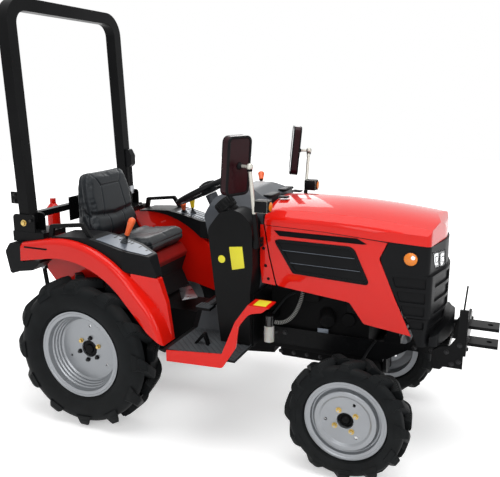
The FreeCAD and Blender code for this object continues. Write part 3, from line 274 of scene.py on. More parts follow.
def finish(name, colour, rough, tone=0.08, tone_size=5.0, uneven=0.04, grain=900.0, bump=0.05, depth=0.0003,
           edge=0.002, dust=0.05, reach=0.3, shader=None):
    """A material of varied colour and gloss, with grain, rounded edges and a little dust."""
    material = bpy.data.materials.new(name)
    material.use_nodes = True
    tree = material.node_tree
    principled = tree.nodes["Principled BSDF"]
    skin = group(tree, surface_group, colour=(*colour, 1), tone=tone, tone_size=tone_size, roughness=rough,
                 unevenness=uneven, grain_size=grain)
    film = group(tree, dust_group, amount=dust, reach=reach)
    mixed = add(tree, "Mix", [("Factor", film.outputs[0]), ("A", skin.outputs["Colour"]), ("B", DUST)],
                data_type="RGBA")
    relief = group(tree, relief_group, strength=bump, distance=depth, edge_radius=edge)
    tree.links.new(skin.outputs["Grain"], relief.inputs["Height"])
    tree.links.new(mixed.outputs["Result"], principled.inputs["Base Color"])
    tree.links.new(skin.outputs["Roughness"], principled.inputs["Roughness"])
    tree.links.new(relief.outputs[0], principled.inputs["Normal"])
    for key, value in (shader or {}).items():
        principled.inputs[key].default_value = value
    FINISHES[name] = material
    return material


COAT = {"Coat Weight": 1.0, "Coat Roughness": 0.04, "Coat IOR": 1.3, "Specular IOR Level": 0.05}
MATT = {"Specular IOR Level": 0.04}
SATIN = {"Specular IOR Level": 0.07}
GLOSSY = {"Specular IOR Level": 0.4}
finish("red_paint", (0.66, 0.008, 0.003), 0.34, tone=0.05, tone_size=3.0, uneven=0.03, grain=260.0,
       bump=0.03, depth=0.0004, edge=0.003, dust=0.012, shader=COAT)
finish("red_cover", (0.30, 0.008, 0.006), 0.42, grain=420.0, edge=0.003, dust=0.02, shader=MATT)
finish("black_paint", (0.0042, 0.0044, 0.0048), 0.30, tone=0.2, uneven=0.06, grain=500.0, edge=0.002,
       dust=0.02, shader=SATIN)
finish("black_cast", (0.0045, 0.0045, 0.0048), 0.5, tone=0.3, uneven=0.1, grain=260.0, bump=0.35,
       depth=0.0008, edge=0.004, dust=0.03, shader=MATT)
finish("black_plastic", (0.006, 0.0063, 0.007), 0.38, tone=0.15, grain=1500.0, bump=0.12, edge=0.002,
       dust=0.015, shader=SATIN)
finish("tank_plastic", (0.0055, 0.0057, 0.006), 0.36, tone=0.2, grain=700.0, bump=0.1, edge=0.003,
       dust=0.015, shader=SATIN)
finish("wheel_silver", (0.27, 0.283, 0.30), 0.33, tone=0.05, grain=1400.0, bump=0.04, edge=0.002, dust=0.04,
       reach=0.5, shader={"Metallic": 0.55, "Coat Weight": 0.2, "Coat Roughness": 0.2})
finish("tyre_rubber", (0.0075, 0.0085, 0.0092), 0.5, tone=0.25, tone_size=12.0, grain=420.0, bump=0.25,
       depth=0.0006, edge=0.003, dust=0.06, reach=0.5, shader={"Specular IOR Level": 0.06})
finish("bare_steel", (0.36, 0.37, 0.39), 0.34, tone=0.12, tone_size=30.0, uneven=0.12, grain=1200.0,
       bump=0.06, shader={"Metallic": 1.0})
finish("post_chrome", (0.50, 0.49, 0.44), 0.3, uneven=0.05, shader={"Metallic": 0.45})
finish("mirror_shell", (0.020, 0.004, 0.006), 0.24, grain=900.0, edge=0.004,
       shader={"Specular IOR Level": 0.12})
finish("amber_lens", (0.86, 0.24, 0.010), 0.16, tone=0.12, tone_size=20.0, grain=160.0, bump=0.3,
       depth=0.001, shader={"Specular IOR Level": 0.35, "Transmission Weight": 0.15})
finish("lamp_glass", (0.86, 0.90, 0.93), 0.05, tone=0.03, uneven=0.02, grain=120.0, bump=0.15, depth=0.001,
       dust=0.01, shader={"Transmission Weight": 0.85, "IOR": 1.49})
finish("filter_bowl", (0.66, 0.65, 0.62), 0.18, tone=0.12, tone_size=24.0,
       shader={"Transmission Weight": 0.4, "Subsurface Weight": 0.2})
finish("seat_vinyl", (0.013, 0.016, 0.019), 0.36, tone=0.10, tone_size=9.0, uneven=0.05, grain=650.0,
       bump=0.3, depth=0.0006, edge=0.003, dust=0.01, shader={"Specular IOR Level": 0.22})
finish("mat_rubber", (0.050, 0.055, 0.060), 0.55, tone=0.2, grain=800.0, bump=0.2, edge=0.001, dust=0.06,
       shader=MATT)
for part in frame["record"]["subparts"]:
    mesh = nodes[part["node"]].data
    mesh.materials.clear()
    mesh.materials.append(FINISHES[part["material_slot"]])
print("finishes:", ", ".join(sorted(FINISHES)))

# %% [markdown]
# ## Turning a bmesh into a piece
# Every new piece goes through the same last steps: double vertices are merged, faces are turned
# outwards, the mesh gets a finish, edges sharper than a set angle stay crisp while the rest is
# shaded smooth, and the piece is told which body it rides on.

# %% Make a piece
def piece(name, form, body, slot, finish_name=None, crease=35.0, merge=True):
    """A finished object made from a bmesh, riding on a body."""
    if merge:
        bmesh.ops.remove_doubles(form, verts=form.verts, dist=1e-5)
    bmesh.ops.recalc_face_normals(form, faces=form.faces)
    mesh = mesh_from(name, form)
    mesh.shade_smooth()
    mesh.set_sharp_from_angle(angle=math.radians(crease))
    mesh.materials.append(FINISHES[finish_name or slot])
    made = bpy.data.objects.new(name, mesh)
    scene.collection.objects.link(made)
    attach(made, body)
    return made


def pieces(body, rows, **settings):
    """Several pieces on one body, from rows of a name, a form, a slot and perhaps a finish."""
    for name, form, *looks in rows:
        piece(name, form, body, *looks, **settings)


def forms(count):
    """Some empty bmeshes."""
    return [bmesh.new() for _ in range(count)]


def bevelled(form, geometry, offset, segments, affect="EDGES"):
    """Round edges or corners."""
    bmesh.ops.bevel(form, geom=geometry, offset=offset, segments=segments, profile=0.5, affect=affect,
                    material=-1)


def poured(form, other):
    """Add one bmesh to another and free it."""
    mesh = mesh_from("poured", other)
    form.from_mesh(mesh)
    bpy.data.meshes.remove(mesh)


# %% [markdown]
# ## Tyres
# A farm tyre is a smooth carcass of revolution with heavy bars that start at the middle of the
# tread, sweep back and wrap over the shoulder.  The carcass is half a section drawn as a few
# vertices, mirrored and spun round the axle.  One bar is a cube that is cut across, bevelled and
# then laid on the tread by moving its vertices: across the cube becomes round the wheel, and along
# it becomes from the middle to the shoulder.  Copies turned by a twelfth of a turn make each side,
# the outer side half a step later, as the solids have them.

# %% Tyre carcass
TYRES = {
    "rear": {"x": 0.0, "track": 0.486, "radius": 0.402, "half": 0.110, "lug": 0.030, "thick": 0.052,
             "rim": 0.2325, "seat": 0.2065, "bead": 0.0780},
    "front": {"x": 1.379, "track": 0.458, "radius": 0.286, "half": 0.0715, "lug": 0.022, "thick": 0.040,
              "rim": 0.1895, "seat": 0.1655, "bead": 0.0395},
}
BARS = 12
# Half of the wall's section: shares of the half width, and of the height from rim to tread.
WALL = [(0.84, 0.09), (0.862, 0.10), (0.925, 0.24), (0.957, 0.42), (0.957, 0.60), (0.925, 0.76),
        (0.86, 0.88), (0.74, 0.955)]
BAR_FOOT, OVERLAP = 0.012, 0.008


def carcass(form, size):
    """The smooth body of a tyre about the Y axis, drawn as half a section and spun."""
    tread, rim, half, bead = size["radius"] - size["lug"], size["rim"], size["half"], size["bead"]
    section = [(bead - 0.002, size["seat"]), (bead, rim - 0.002), (bead + 0.005, rim + 0.004)]
    section += [(half * out, rim + (tread - rim) * up) for out, up in WALL]
    section += [(half * 0.45, tread - 0.0015), (0.0, tread)]
    line = [form.verts.new((0, y, r)) for y, r in section]
    edges = [form.edges.new(pair) for pair in zip(line, line[1:])]
    twin = bmesh.ops.mirror(form, geom=line + edges, matrix=Matrix(), merge_dist=1e-6, axis="Y")
    geometry = line + edges + [part for part in twin["geom"] if part.is_valid]
    bmesh.ops.spin(form, geom=list(dict.fromkeys(geometry)), axis=(0, 1, 0), cent=(0, 0, 0),
                   angle=math.tau, steps=96, use_merge=True)


def tread_bar(size, side, phase):
    """One bar: a cut and bevelled cube whose vertices are laid over half of the tread."""
    form = bmesh.new()
    bmesh.ops.create_cube(form, size=1.0)
    bmesh.ops.translate(form, vec=(0, 0.5, 0.5), verts=form.verts)
    across = [edge for edge in form.edges if abs(edge.verts[0].co.y - edge.verts[1].co.y) > 0.5]
    bmesh.ops.subdivide_edges(form, edges=across, cuts=9)
    rims = [edge for edge in form.edges if min(vert.co.z for vert in edge.verts) > 0.5
            and (len({round(vert.co.x) for vert in edge.verts}) == 1 or edge.calc_length() > 0.9)
            and abs(edge.verts[0].co.x) > 0.4]
    bevelled(form, rims, 0.14, 2)
    tread, radius, half = size["radius"] - size["lug"], size["radius"], size["half"]
    for vert in form.verts:
        along, up = min(1.0, max(0.0, vert.co.y)), vert.co.z
        y = -OVERLAP + along * (half * 0.98 + OVERLAP)
        over = max(0.0, (y / half - 0.62) / 0.365)
        top = radius - 0.003 * (y / half) ** 2 - (radius - tread + BAR_FOOT) * over ** 2.2
        foot = tread - BAR_FOOT - 0.05 * max(0.0, y / half - 0.4) ** 1.2
        flank = 1.0 + 0.45 * (1.0 - up) + 0.35 * over ** 2
        r = foot + (top - foot) * up
        turn = phase - (y + OVERLAP) * 0.9 / radius + vert.co.x * size["thick"] * flank / r
        vert.co = (math.sin(turn) * r, side * y, math.cos(turn) * r)
    return form


def tyre(name, which, hand):
    """A whole tyre at its place; hand is -1 for the right wheel and 1 for the left."""
    size = TYRES[which]
    form = bmesh.new()
    carcass(form, size)
    first = -size["thick"] / 2 / size["radius"]
    for side, shift in ((1, 0.0), (-1, 0.5)):
        bar_mesh = mesh_from("bar", tread_bar(size, side, first + shift * math.tau / BARS))
        for number in range(BARS):
            before = len(form.verts)
            form.from_mesh(bar_mesh)
            form.verts.ensure_lookup_table()
            turn = Matrix.Rotation(number * math.tau / BARS, 3, "Y")
            bmesh.ops.rotate(form, verts=form.verts[before:], cent=(0, 0, 0), matrix=turn)
        bpy.data.meshes.remove(bar_mesh)
    if hand == 1:
        bmesh.ops.scale(form, vec=(1, -1, 1), verts=form.verts)
    bmesh.ops.translate(form, vec=at(size["x"], hand * size["track"], size["radius"]), verts=form.verts)
    side = "right" if hand == -1 else "left"
    made = piece(name, form, f"{which}_wheel_{side}", "tyre_rubber", crease=38)
    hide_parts(f"{which}_tyre_{side}")
    return made


for side, hand in SIDES.items():
    for which in TYRES:
        made = tyre(f"{which}_tyre_dressed_{side}", which, hand)
        print(made.name, len(made.data.polygons), "faces")

# %% [markdown]
# ## Seat
# The seat is foam under a stretched vinyl skin: the faces crown, the rims are round and every seam
# pulls the skin in.  The solid gives the outline.  A copy of it, a little smaller, is rebuilt with
# an even grid by Voxel remesh and then inflated by a short Cloth simulation with pressure and no
# gravity, which rounds it as stuffing does.  How far a point may move is capped, so the pad stays
# in its place.  The seams are pressed in afterwards, because the remesh would have lost them.

# %% Stuffed pads
SHRINK, CAP, VOXEL, PRESSURE, FRAMES = 0.010, 0.013, 0.006, 4.0, 20


def merged_copy(node, name):
    """A copy of a solid's mesh with its loose triangles joined."""
    form = bmesh.new()
    form.from_mesh(nodes[node].data)
    bmesh.ops.remove_doubles(form, verts=form.verts, dist=1e-5)
    return mesh_from(name, form)


def stuffed(name, node):
    """A pad made from a solid: shrunk, rebuilt evenly and inflated within a cap."""
    pad = bpy.data.objects.new(name, merged_copy(node, name))
    scene.collection.objects.link(pad)
    low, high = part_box(node)
    middle = (Vector(low) + Vector(high)) / 2
    span = Vector(high) - Vector(low)
    for vert in pad.data.vertices:
        offset = vert.co - middle
        vert.co = middle + Vector([offset[i] * (1 - 2 * SHRINK / span[i]) for i in range(3)])
    remesh = pad.modifiers.new("even", "REMESH")
    remesh.mode, remesh.voxel_size = "VOXEL", VOXEL
    apply_modifiers(pad)
    rest = [vert.co.copy() for vert in pad.data.vertices]
    cloth = pad.modifiers.new("skin", "CLOTH")
    cloth.settings.use_pressure = True
    cloth.settings.uniform_pressure_force = PRESSURE
    cloth.settings.effector_weights.gravity = 0.0
    for frame_number in range(1, FRAMES + 1):
        scene.frame_set(frame_number)
        bpy.context.view_layer.update()
    apply_modifiers(pad)
    scene.frame_set(1)
    for vert, start in zip(pad.data.vertices, rest):
        move = vert.co - start
        if move.length > CAP:
            vert.co = start + move * (CAP / move.length)
    return pad


def evaluated(obj):
    """A new mesh of what an object's modifiers or curve settings make of it."""
    bpy.context.view_layer.update()
    depsgraph = bpy.context.evaluated_depsgraph_get()
    return bpy.data.meshes.new_from_object(obj.evaluated_get(depsgraph))


def apply_modifiers(obj):
    """Replace an object's mesh by what its modifiers make of it."""
    old, obj.data = obj.data, evaluated(obj)
    obj.modifiers.clear()
    bpy.data.meshes.remove(old)


# %% [markdown]
# ### Seams
# A seam is a line drawn over a face of the pad.  Each vertex near it moves inwards by a bell-shaped
# amount, so the skin dips into a stitched groove and swells again beside it.  A narrow bell makes a
# stitched seam, and a wide one makes the fold where the back meets its lumbar roll.

# %% Press the seams
FILL, SMOOTHINGS = 0.75, 3
SIDE_LIMIT, FACE_LIMIT, BELL_REACH = 0.75, 0.3, 3


def drawn(line, view):
    """How far a point lies from a line of straight runs, seen along one axis."""
    runs = [(Vector(start), Vector(end)) for start, end in zip(line, line[1:])]

    def measure(co):
        point = Vector(((co.y, co.z) if view == "front" else (co.x - AXLE_X, co.y)))
        best = 1.0
        for a, b in runs:
            along = max(0.0, min(1.0, (point - a).dot(b - a) / max((b - a).length_squared, 1e-9)))
            best = min(best, (point - a - (b - a) * along).length)
        return best
    return measure


def level(place, normal):
    """How far a point lies from a plane: the seam that runs round a pad's sides."""
    place, normal = at(*place), Vector(normal).normalized()
    return lambda co: abs((co - place).dot(normal))


def finish_pad(pad, node, seams):
    """Smooth and subdivide a pad, press its seams and dress it as vinyl."""
    form = bmesh.new()
    form.from_mesh(pad.data)
    for _ in range(SMOOTHINGS):
        bmesh.ops.smooth_vert(form, verts=form.verts, factor=0.5, use_axis_x=True, use_axis_y=True,
                              use_axis_z=True)
    bmesh.ops.subdivide_edges(form, edges=form.edges, cuts=1, smooth=0.6, use_grid_fill=True)
    form.normal_update()
    moves = {}
    for measure, facing, on_side, depth, width in seams:
        facing = Vector(facing).normalized()
        for vert in form.verts:
            turned = vert.normal.dot(facing)
            if (abs(turned) < SIDE_LIMIT) if on_side else (turned > FACE_LIMIT):
                near = measure(vert.co)
                if near < width * BELL_REACH:
                    push = vert.normal * (-depth * math.exp(-(near / width) ** 2))
                    moves[vert] = moves.get(vert, Vector()) + push
    for vert, move in moves.items():
        vert.co += move
    form.to_mesh(pad.data)
    form.free()
    pad.data.shade_smooth()
    pad.data.materials.clear()
    pad.data.materials.append(FINISHES["seat_vinyl"])
    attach(pad, "root")
    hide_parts(node)


BACK_FRONT, BACK_LEAN = (1, 0, 0.24), (-0.190, 0, 1.130)
back_seams = [(drawn([(-0.155, 1.300), (-0.088, 1.205), (0.088, 1.205), (0.155, 1.300)], "front"),
               BACK_FRONT, False, 0.0055, 0.0045),
              (drawn([(-0.215, 1.055), (0.0, 1.035), (0.215, 1.055)], "front"),
               BACK_FRONT, False, 0.013, 0.016),
              (level(BACK_LEAN, BACK_FRONT), BACK_FRONT, True, 0.0045, 0.004)]
for hand in SIDES.values():
    upright = [(hand * 0.088, 1.205), (hand * 0.097, 1.12), (hand * 0.108, 1.04)]
    lower = [(hand * 0.070, 1.035), (hand * 0.066, 0.98), (hand * 0.060, 0.925)]
    back_seams += [(drawn(upright, "front"), BACK_FRONT, False, 0.0035, 0.004),
                   (drawn(lower, "front"), BACK_FRONT, False, 0.0035, 0.004)]
backrest = stuffed("seat_backrest", "seat_back")
finish_pad(backrest, "seat_back", back_seams)
pad_seams = [(level((0.06, 0, 0.896), (-0.08, 0, 1)), UP, True, 0.0045, 0.004),
             (drawn([(0.02, 0.0), (0.10, 0.0)], "above"), UP, False, 0.008, 0.07)]
for hand in SIDES.values():
    pad_seams += [(drawn([(0.010, hand * 0.175), (0.035, hand * 0.135)], "above"), UP, False, 0.004, 0.006),
                  (drawn([(0.045, hand * 0.160), (0.062, hand * 0.132)], "above"), UP, False, 0.003, 0.005),
                  (drawn([(-0.06, hand * 0.150), (0.06, hand * 0.205)], "above"), UP, False, 0.003, 0.008)]
cushion = stuffed("seat_pad", "seat_cushion")
finish_pad(cushion, "seat_cushion", pad_seams)
print("seat:", len(backrest.data.polygons), "and", len(cushion.data.polygons), "faces")

# %% [markdown]
# ## Fasteners
# Bolts hold everything on a machine like this, so one small builder makes them all: a hexagon
# from a six-sided cone, its upper rim bevelled as a forged head is, with a round washer face
# under it.  It is turned to its axis and moved to its place, and many share one mesh.

# %% Bolts
def turned_form(form, verts, axis, place):
    """Turn vertices made about Z to another axis and move them to their place."""
    turn = UP.rotation_difference(Vector(axis)).to_matrix()
    bmesh.ops.rotate(form, verts=verts, cent=(0, 0, 0), matrix=turn)
    bmesh.ops.translate(form, verts=verts, vec=place)


def round_part(form, place, axis, radii, height, sides=32, soft=0.12):
    """A round or many-sided stud with a bevelled far rim, standing on a place along an axis."""
    known = set(form.verts)
    bmesh.ops.create_cone(form, cap_ends=True, segments=sides, radius1=radii[0], radius2=radii[1],
                          depth=height)
    fresh = [vert for vert in form.verts if vert not in known]
    bmesh.ops.translate(form, verts=fresh, vec=(0, 0, height / 2))
    rim = [edge for edge in form.edges if all(vert in set(fresh) and vert.co.z > height * 0.99
                                              for vert in edge.verts)]
    if soft:
        bevelled(form, rim, min(height, radii[1]) * soft, 2)
    fresh = [vert for vert in form.verts if vert not in known]
    turned_form(form, fresh, axis, place)


def bolt(form, place, axis, size=0.010, height=0.008):
    """A hexagon head with a washer under it."""
    axis = Vector(axis).normalized()
    round_part(form, place, axis, (size * 1.35, size * 1.3), height * 0.22, sides=24, soft=0)
    round_part(form, Vector(place) + axis * height * 0.2, axis, (size, size), height, sides=6, soft=0.22)


# %% [markdown]
# ## Wheel centres
# Each rim is held by a ring of bolts round a dark hub.  The rear hub ends in a black cap deep in
# the centre hole, and the front one in a plain dome.  The finishes are told apart: dark bolts, steel
# studs and brass-coloured nuts, as plated parts come.

# %% More finishes
finish("dark_bolt", (0.010, 0.010, 0.011), 0.35, edge=0.001, shader={"Metallic": 0.6})
finish("brass_nut", (0.55, 0.40, 0.14), 0.35, tone=0.1, edge=0.001, shader={"Metallic": 0.9})
finish("label_yellow", (0.72, 0.66, 0.03), 0.4, tone=0.04, edge=0.0005, shader=GLOSSY)
finish("stripe_black", (0.005, 0.004, 0.005), 0.35, edge=0.0005, shader=MATT)
finish("knob_orange", (0.78, 0.12, 0.025), 0.35, tone=0.05, edge=0.002, shader=GLOSSY)
finish("knob_yellow", (0.80, 0.58, 0.02), 0.35, tone=0.05, edge=0.002, shader=GLOSSY)
finish("grey_plate", (0.115, 0.135, 0.165), 0.35, tone=0.08, edge=0.001, shader={"Metallic": 0.3})
# The dash's bluish grey is partly its own colour and partly painted sky light on its top.
finish("dash_grey_and_sky_light", (0.036, 0.041, 0.049), 0.38, tone=0.08, grain=1300.0, bump=0.15, edge=0.003,
       shader={"Specular IOR Level": 0.3})
nodes["dash_cowl"].data.materials[0] = FINISHES["dash_grey_and_sky_light"]


# %% Wheel bolts
HUB_FACE, REAR_DISC, FRONT_DISC = 0.469, 0.4862, 0.4962
REAR_CIRCLE, FRONT_CIRCLE = 0.062, 0.056


def on_rim(side, which, angle, radius, depth):
    """A place on a wheel's face: its angle from the top towards the front, and how far out it lies."""
    size = TYRES[which]
    turn = math.radians(angle)
    return at(size["x"] + math.sin(turn) * radius, SIDES[side] * depth,
              size["radius"] + math.cos(turn) * radius)


for side, hand in SIDES.items():
    out = Vector((0, hand, 0))
    hub, bolts, nuts = forms(3)
    round_part(hub, on_rim(side, "rear", 0, 0, HUB_FACE), out, (0.044, 0.043), 0.010)
    round_part(hub, on_rim(side, "rear", 0, 0, HUB_FACE + 0.010), out, (0.026, 0.022), 0.010)
    for number in range(6):
        chosen = nuts if number in (1, 5) else bolts
        place = on_rim(side, "rear", 10 + 60 * number, REAR_CIRCLE, REAR_DISC)
        bolt(chosen, place, out, size=0.0095, height=0.012)
    pieces(f"rear_wheel_{side}", [(f"rear_hub_{side}", hub, "black_paint"),
                                  (f"rear_bolts_{side}", bolts, "black_paint", "dark_bolt"),
                                  (f"rear_nuts_{side}", nuts, "bare_steel", "brass_nut")])
    hub, studs, nuts = forms(3)
    round_part(hub, on_rim(side, "front", 0, 0, HUB_FACE), out, (0.036, 0.035), 0.012)
    round_part(hub, on_rim(side, "front", 0, 0, HUB_FACE + 0.012), out, (0.024, 0.014), 0.012, soft=0.3)
    for number in range(4):
        place = on_rim(side, "front", 57 + 90 * number, FRONT_CIRCLE, FRONT_DISC)
        bolt(nuts, place, out, size=0.010, height=0.009)
        round_part(studs, place, out, (0.0048, 0.0045), 0.015, sides=16)
    pieces(f"front_wheel_{side}", [(f"front_hub_{side}", hub, "black_paint"),
                                   (f"front_studs_{side}", studs, "bare_steel"),
                                   (f"front_nuts_{side}", nuts, "bare_steel", "brass_nut")])
print("wheel centres: 2 rear, 2 front")

# %% [markdown]
# ## Sheet trims and labels
# Stripes, blank plates and labels are thin sheets that follow a face.  Each starts as a few corner
# vertices joined by contextual_create, gets its thickness by extruding and has its rim bevelled, so
# even a label has an edge that catches light.  Where a sheet must follow a curved top, a grid is
# moved onto it and given its thickness by solidify.

# %% Thin plates
def drawn_face(form, points, radius=0.0, segments=4):
    """One face through points, its corners rounded."""
    corners = [form.verts.new(point) for point in points]
    face = bmesh.ops.contextual_create(form, geom=corners)["faces"][0]
    if radius:
        bevelled(form, list(face.verts), radius, segments, "VERTICES")


def raised(form, shift):
    """Extrude all of a sheet by a shift, keeping its base; returns the moved vertices."""
    grown = bmesh.ops.extrude_face_region(form, geom=list(form.faces), use_keep_orig=True)["geom"]
    top = [part for part in grown if isinstance(part, bmesh.types.BMVert)]
    bmesh.ops.translate(form, verts=top, vec=shift)
    return set(top)


def raised_rim(form, reach, shift, soft, segments):
    """Turn a face into a rim along its border, raised and rounded."""
    bmesh.ops.inset_region(form, faces=list(form.faces), thickness=reach, use_boundary=True,
                           use_even_offset=True)
    bmesh.ops.delete(form, geom=[max(form.faces, key=lambda face: face.calc_area())], context="FACES")
    top = raised(form, shift)
    edges = [edge for edge in form.edges if all(vert in top for vert in edge.verts)
             and len(edge.link_faces) == 2 and edge.calc_face_angle(0) > 1.0]
    bevelled(form, edges, soft, segments)
    bmesh.ops.recalc_face_normals(form, faces=form.faces)


def plate(form, corners, thickness, outwards, soft=0.3, round_corners=0.0):
    """A thin plate over given corners, as thick as said along a direction."""
    sheet = bmesh.new()
    drawn_face(sheet, corners, round_corners)
    top = raised(sheet, Vector(outwards).normalized() * thickness)
    if soft:
        bevelled(sheet, [edge for edge in sheet.edges if all(vert in top for vert in edge.verts)],
                 thickness * soft, 2)
    bmesh.ops.recalc_face_normals(sheet, faces=sheet.faces)
    poured(form, sheet)


def side_plate(form, hand, y, points, thickness, **settings):
    """A plate drawn from the side as (x, z), on a plane beside the middle."""
    plate(form, [at(x, hand * y, z) for x, z in points], thickness, (0, hand, 0), **settings)


def top_plate(form, x1, x2, y, half, z, thickness, **settings):
    """A level plate from one x to another, reaching as far to both sides of y."""
    corners = [at(x, y + w, z) for x, w in ((x1, -half), (x2, -half), (x2, half), (x1, half))]
    plate(form, corners, thickness, UP, **settings)


def draped(form, columns, rows, shape, thickness):
    """A grid laid on a surface: shape turns a place from 0 to 1 each way into a point."""
    sheet = bmesh.new()
    bmesh.ops.create_grid(sheet, x_segments=columns, y_segments=rows, size=0.5)
    for vert in sheet.verts:
        vert.co = shape(vert.co.x + 0.5, vert.co.y + 0.5)
    bmesh.ops.recalc_face_normals(sheet, faces=sheet.faces)
    bmesh.ops.solidify(sheet, geom=list(sheet.faces), thickness=thickness)
    poured(form, sheet)


def lathe(form, place, axis, profile, steps=32):
    """A turned part: a profile of (radius, height) pairs spun about an axis from a place."""
    part = bmesh.new()
    line = [part.verts.new((radius, 0, height)) for radius, height in profile]
    edges = [part.edges.new(pair) for pair in zip(line, line[1:])]
    bmesh.ops.spin(part, geom=line + edges, axis=UP, cent=(0, 0, 0), angle=math.tau, steps=steps,
                   use_merge=True)
    bmesh.ops.remove_doubles(part, verts=part.verts, dist=1e-6)
    bmesh.ops.holes_fill(part, edges=part.edges, sides=0)
    turned_form(part, part.verts, Vector(axis).normalized(), place)
    bmesh.ops.recalc_face_normals(part, faces=part.faces)
    poured(form, part)


def rounded_box(form, low, high, soft):
    """A box between two corners with every edge rounded."""
    part = bmesh.new()
    bmesh.ops.create_cube(part, size=1.0)
    bmesh.ops.scale(part, vec=high - low, verts=part.verts)
    bmesh.ops.translate(part, vec=(low + high) / 2, verts=part.verts)
    bevelled(part, part.edges, soft, 3)
    poured(form, part)


def side_box(form, hand, x, y, z, soft):
    """A rounded box beside the middle, from its two ends along each axis."""
    near, far = sorted((hand * y[0], hand * y[1]))
    rounded_box(form, at(x[0], near, z[0]), at(x[1], far, z[1]), soft)


def side_bolts(form, hand, y, spots, size, height):
    """Bolts that point outwards from a plane beside the middle, at places (x, z)."""
    for x, z in spots:
        bolt(form, at(x, hand * y, z), (0, hand, 0), size, height)


# %% Stripes and labels
HOOD_FACE, FENDER_FACE, TANK_FACE, SILL_TOP = 0.2812, 0.5402, 0.3602, 0.7872
stripes, strips, labels = forms(3)
for hand in SIDES.values():
    side_plate(stripes, hand, HOOD_FACE, [(0.952, 1.079), (1.352, 1.074), (1.397, 1.051), (1.379, 1.048),
                                          (0.979, 1.053)], 0.0008)
    side_plate(strips, hand, FENDER_FACE,
               [(-0.334, 0.929), (-0.334, 0.938), (-0.184, 0.938), (-0.190, 0.929)], 0.0008)
    top_plate(labels, 0.952, 1.012, hand * 0.501, hand * 0.039, SILL_TOP, 0.0007, round_corners=0.004)
side_plate(labels, -1, TANK_FACE, [(0.754, 0.996), (0.822, 1.004), (0.834, 0.900), (0.769, 0.884)], 0.0007,
           round_corners=0.003)
lathe(labels, at(0.714, -TANK_FACE, 0.932), (0, -1, 0),
      [(0, 0), (0.019, 0), (0.019, 0.0005), (0.018, 0.0008), (0, 0.0008)])
piece("hood_stripes", stripes, "hood", "black_plastic", "stripe_black")
pieces("root", [("fender_strips", strips, "black_plastic", "stripe_black"),
                ("blank_labels", labels, "black_plastic", "label_yellow")])
print("stripes, strips and blank labels")

# %% [markdown]
# ## Console tops
# The lever consoles are black mouldings with a thin grey plate let into the top, slotted for the
# levers and ribbed along its inner edge.  The plate follows the console's falling top line.

# %% Console plates
CONSOLE_LINE = [(-0.18, 0.994), (-0.06, 1.0015), (0.03, 1.002), (0.11, 0.9885), (0.262, 0.9515),
                (0.372, 0.9305)]


def console_height(x):
    """The height of the console's top at a place along it."""
    for (x1, z1), (x2, z2) in zip(CONSOLE_LINE, CONSOLE_LINE[1:]):
        if x <= x2:
            return z1 + (z2 - z1) * (x - x1) / (x2 - x1)
    return CONSOLE_LINE[-1][1]


def console_side(x, outer):
    """How far out the console's top reaches at a place along it."""
    if outer:
        return 0.495 - max(0.0, x - 0.24) * 0.29
    return 0.332 + max(0.0, x - 0.25) * 0.60


def on_console(hand, x1, x2, share1, share2, lift):
    """A shape for draped: a patch of the console's top, its sides as shares of the top's width."""
    def shape(u, v):
        x = x1 + (x2 - x1) * u
        share = share1 + (share2 - share1) * v
        inner, outer = console_side(x, False), console_side(x, True)
        return at(x, hand * (inner + (outer - inner) * share), console_height(x) + lift)
    return shape


plates, marks = forms(2)
for hand in SIDES.values():
    draped(plates, 14, 2, on_console(hand, 0.075, 0.352, 0.10, 0.93, 0.0022), 0.002)
    draped(marks, 10, 1, on_console(hand, 0.125, 0.285, 0.50, 0.60, 0.0028), 0.0012)
    draped(marks, 6, 1, on_console(hand, 0.090, 0.215, 0.72, 0.80, 0.0028), 0.0012)
    for number in range(13):
        start = 0.115 + number * 0.0165
        draped(marks, 1, 1, on_console(hand, start, start + 0.008, 0.14, 0.34, 0.0030), 0.0014)
pieces("root", [("console_plates", plates, "wheel_silver", "grey_plate"),
                ("console_slots", marks, "black_plastic")])
print("console plates on both sides")

# %% [markdown]
# ## Lever grips
# Each hand lever is a steel stem with a moulded grip, slimmer at its foot and rounded at the top,
# over a pleated rubber boot.  A turned profile gives each of them its shape.  The grips are told
# apart by colour, as they are on the real machine.

# %% Grips and boots
STEM = 0.0085


def grip(form, start, end, length, radius):
    """A bottle-shaped grip that ends round over the stem's tip."""
    start, end = at(*start), at(*end)
    axis = (end - start).normalized()
    foot = end - axis * (length - radius)
    shape = [(0.0, 0.0), (0.62, 0.0), (0.68, 0.03), (0.70, 0.2), (0.82, 0.45), (0.97, 0.68), (1.0, 0.8)]
    profile = [(radius * r, length * h) for r, h in shape]
    for number in range(1, 6):
        turn = math.pi / 2 * number / 5
        profile.append((radius * math.cos(turn), length - radius + radius * math.sin(turn) + 0.001))
    lathe(form, foot, axis, profile, steps=24)


def boot(form, start, end, radius, height):
    """A pleated rubber boot round a lever's foot."""
    start, end = at(*start), at(*end)
    profile = [(radius, 0.0)]
    for share in (0.0, 0.25, 0.5, 0.75):
        wide = radius + (STEM - radius) * share
        profile += [(wide * 0.86, height * (share + 0.02)), (wide * 0.98, height * (share + 0.12)),
                    (wide * 0.84, height * (share + 0.24))]
    profile += [(STEM, height), (0.0, height)]
    lathe(form, start - UP * 0.004, end - start, profile, steps=24)


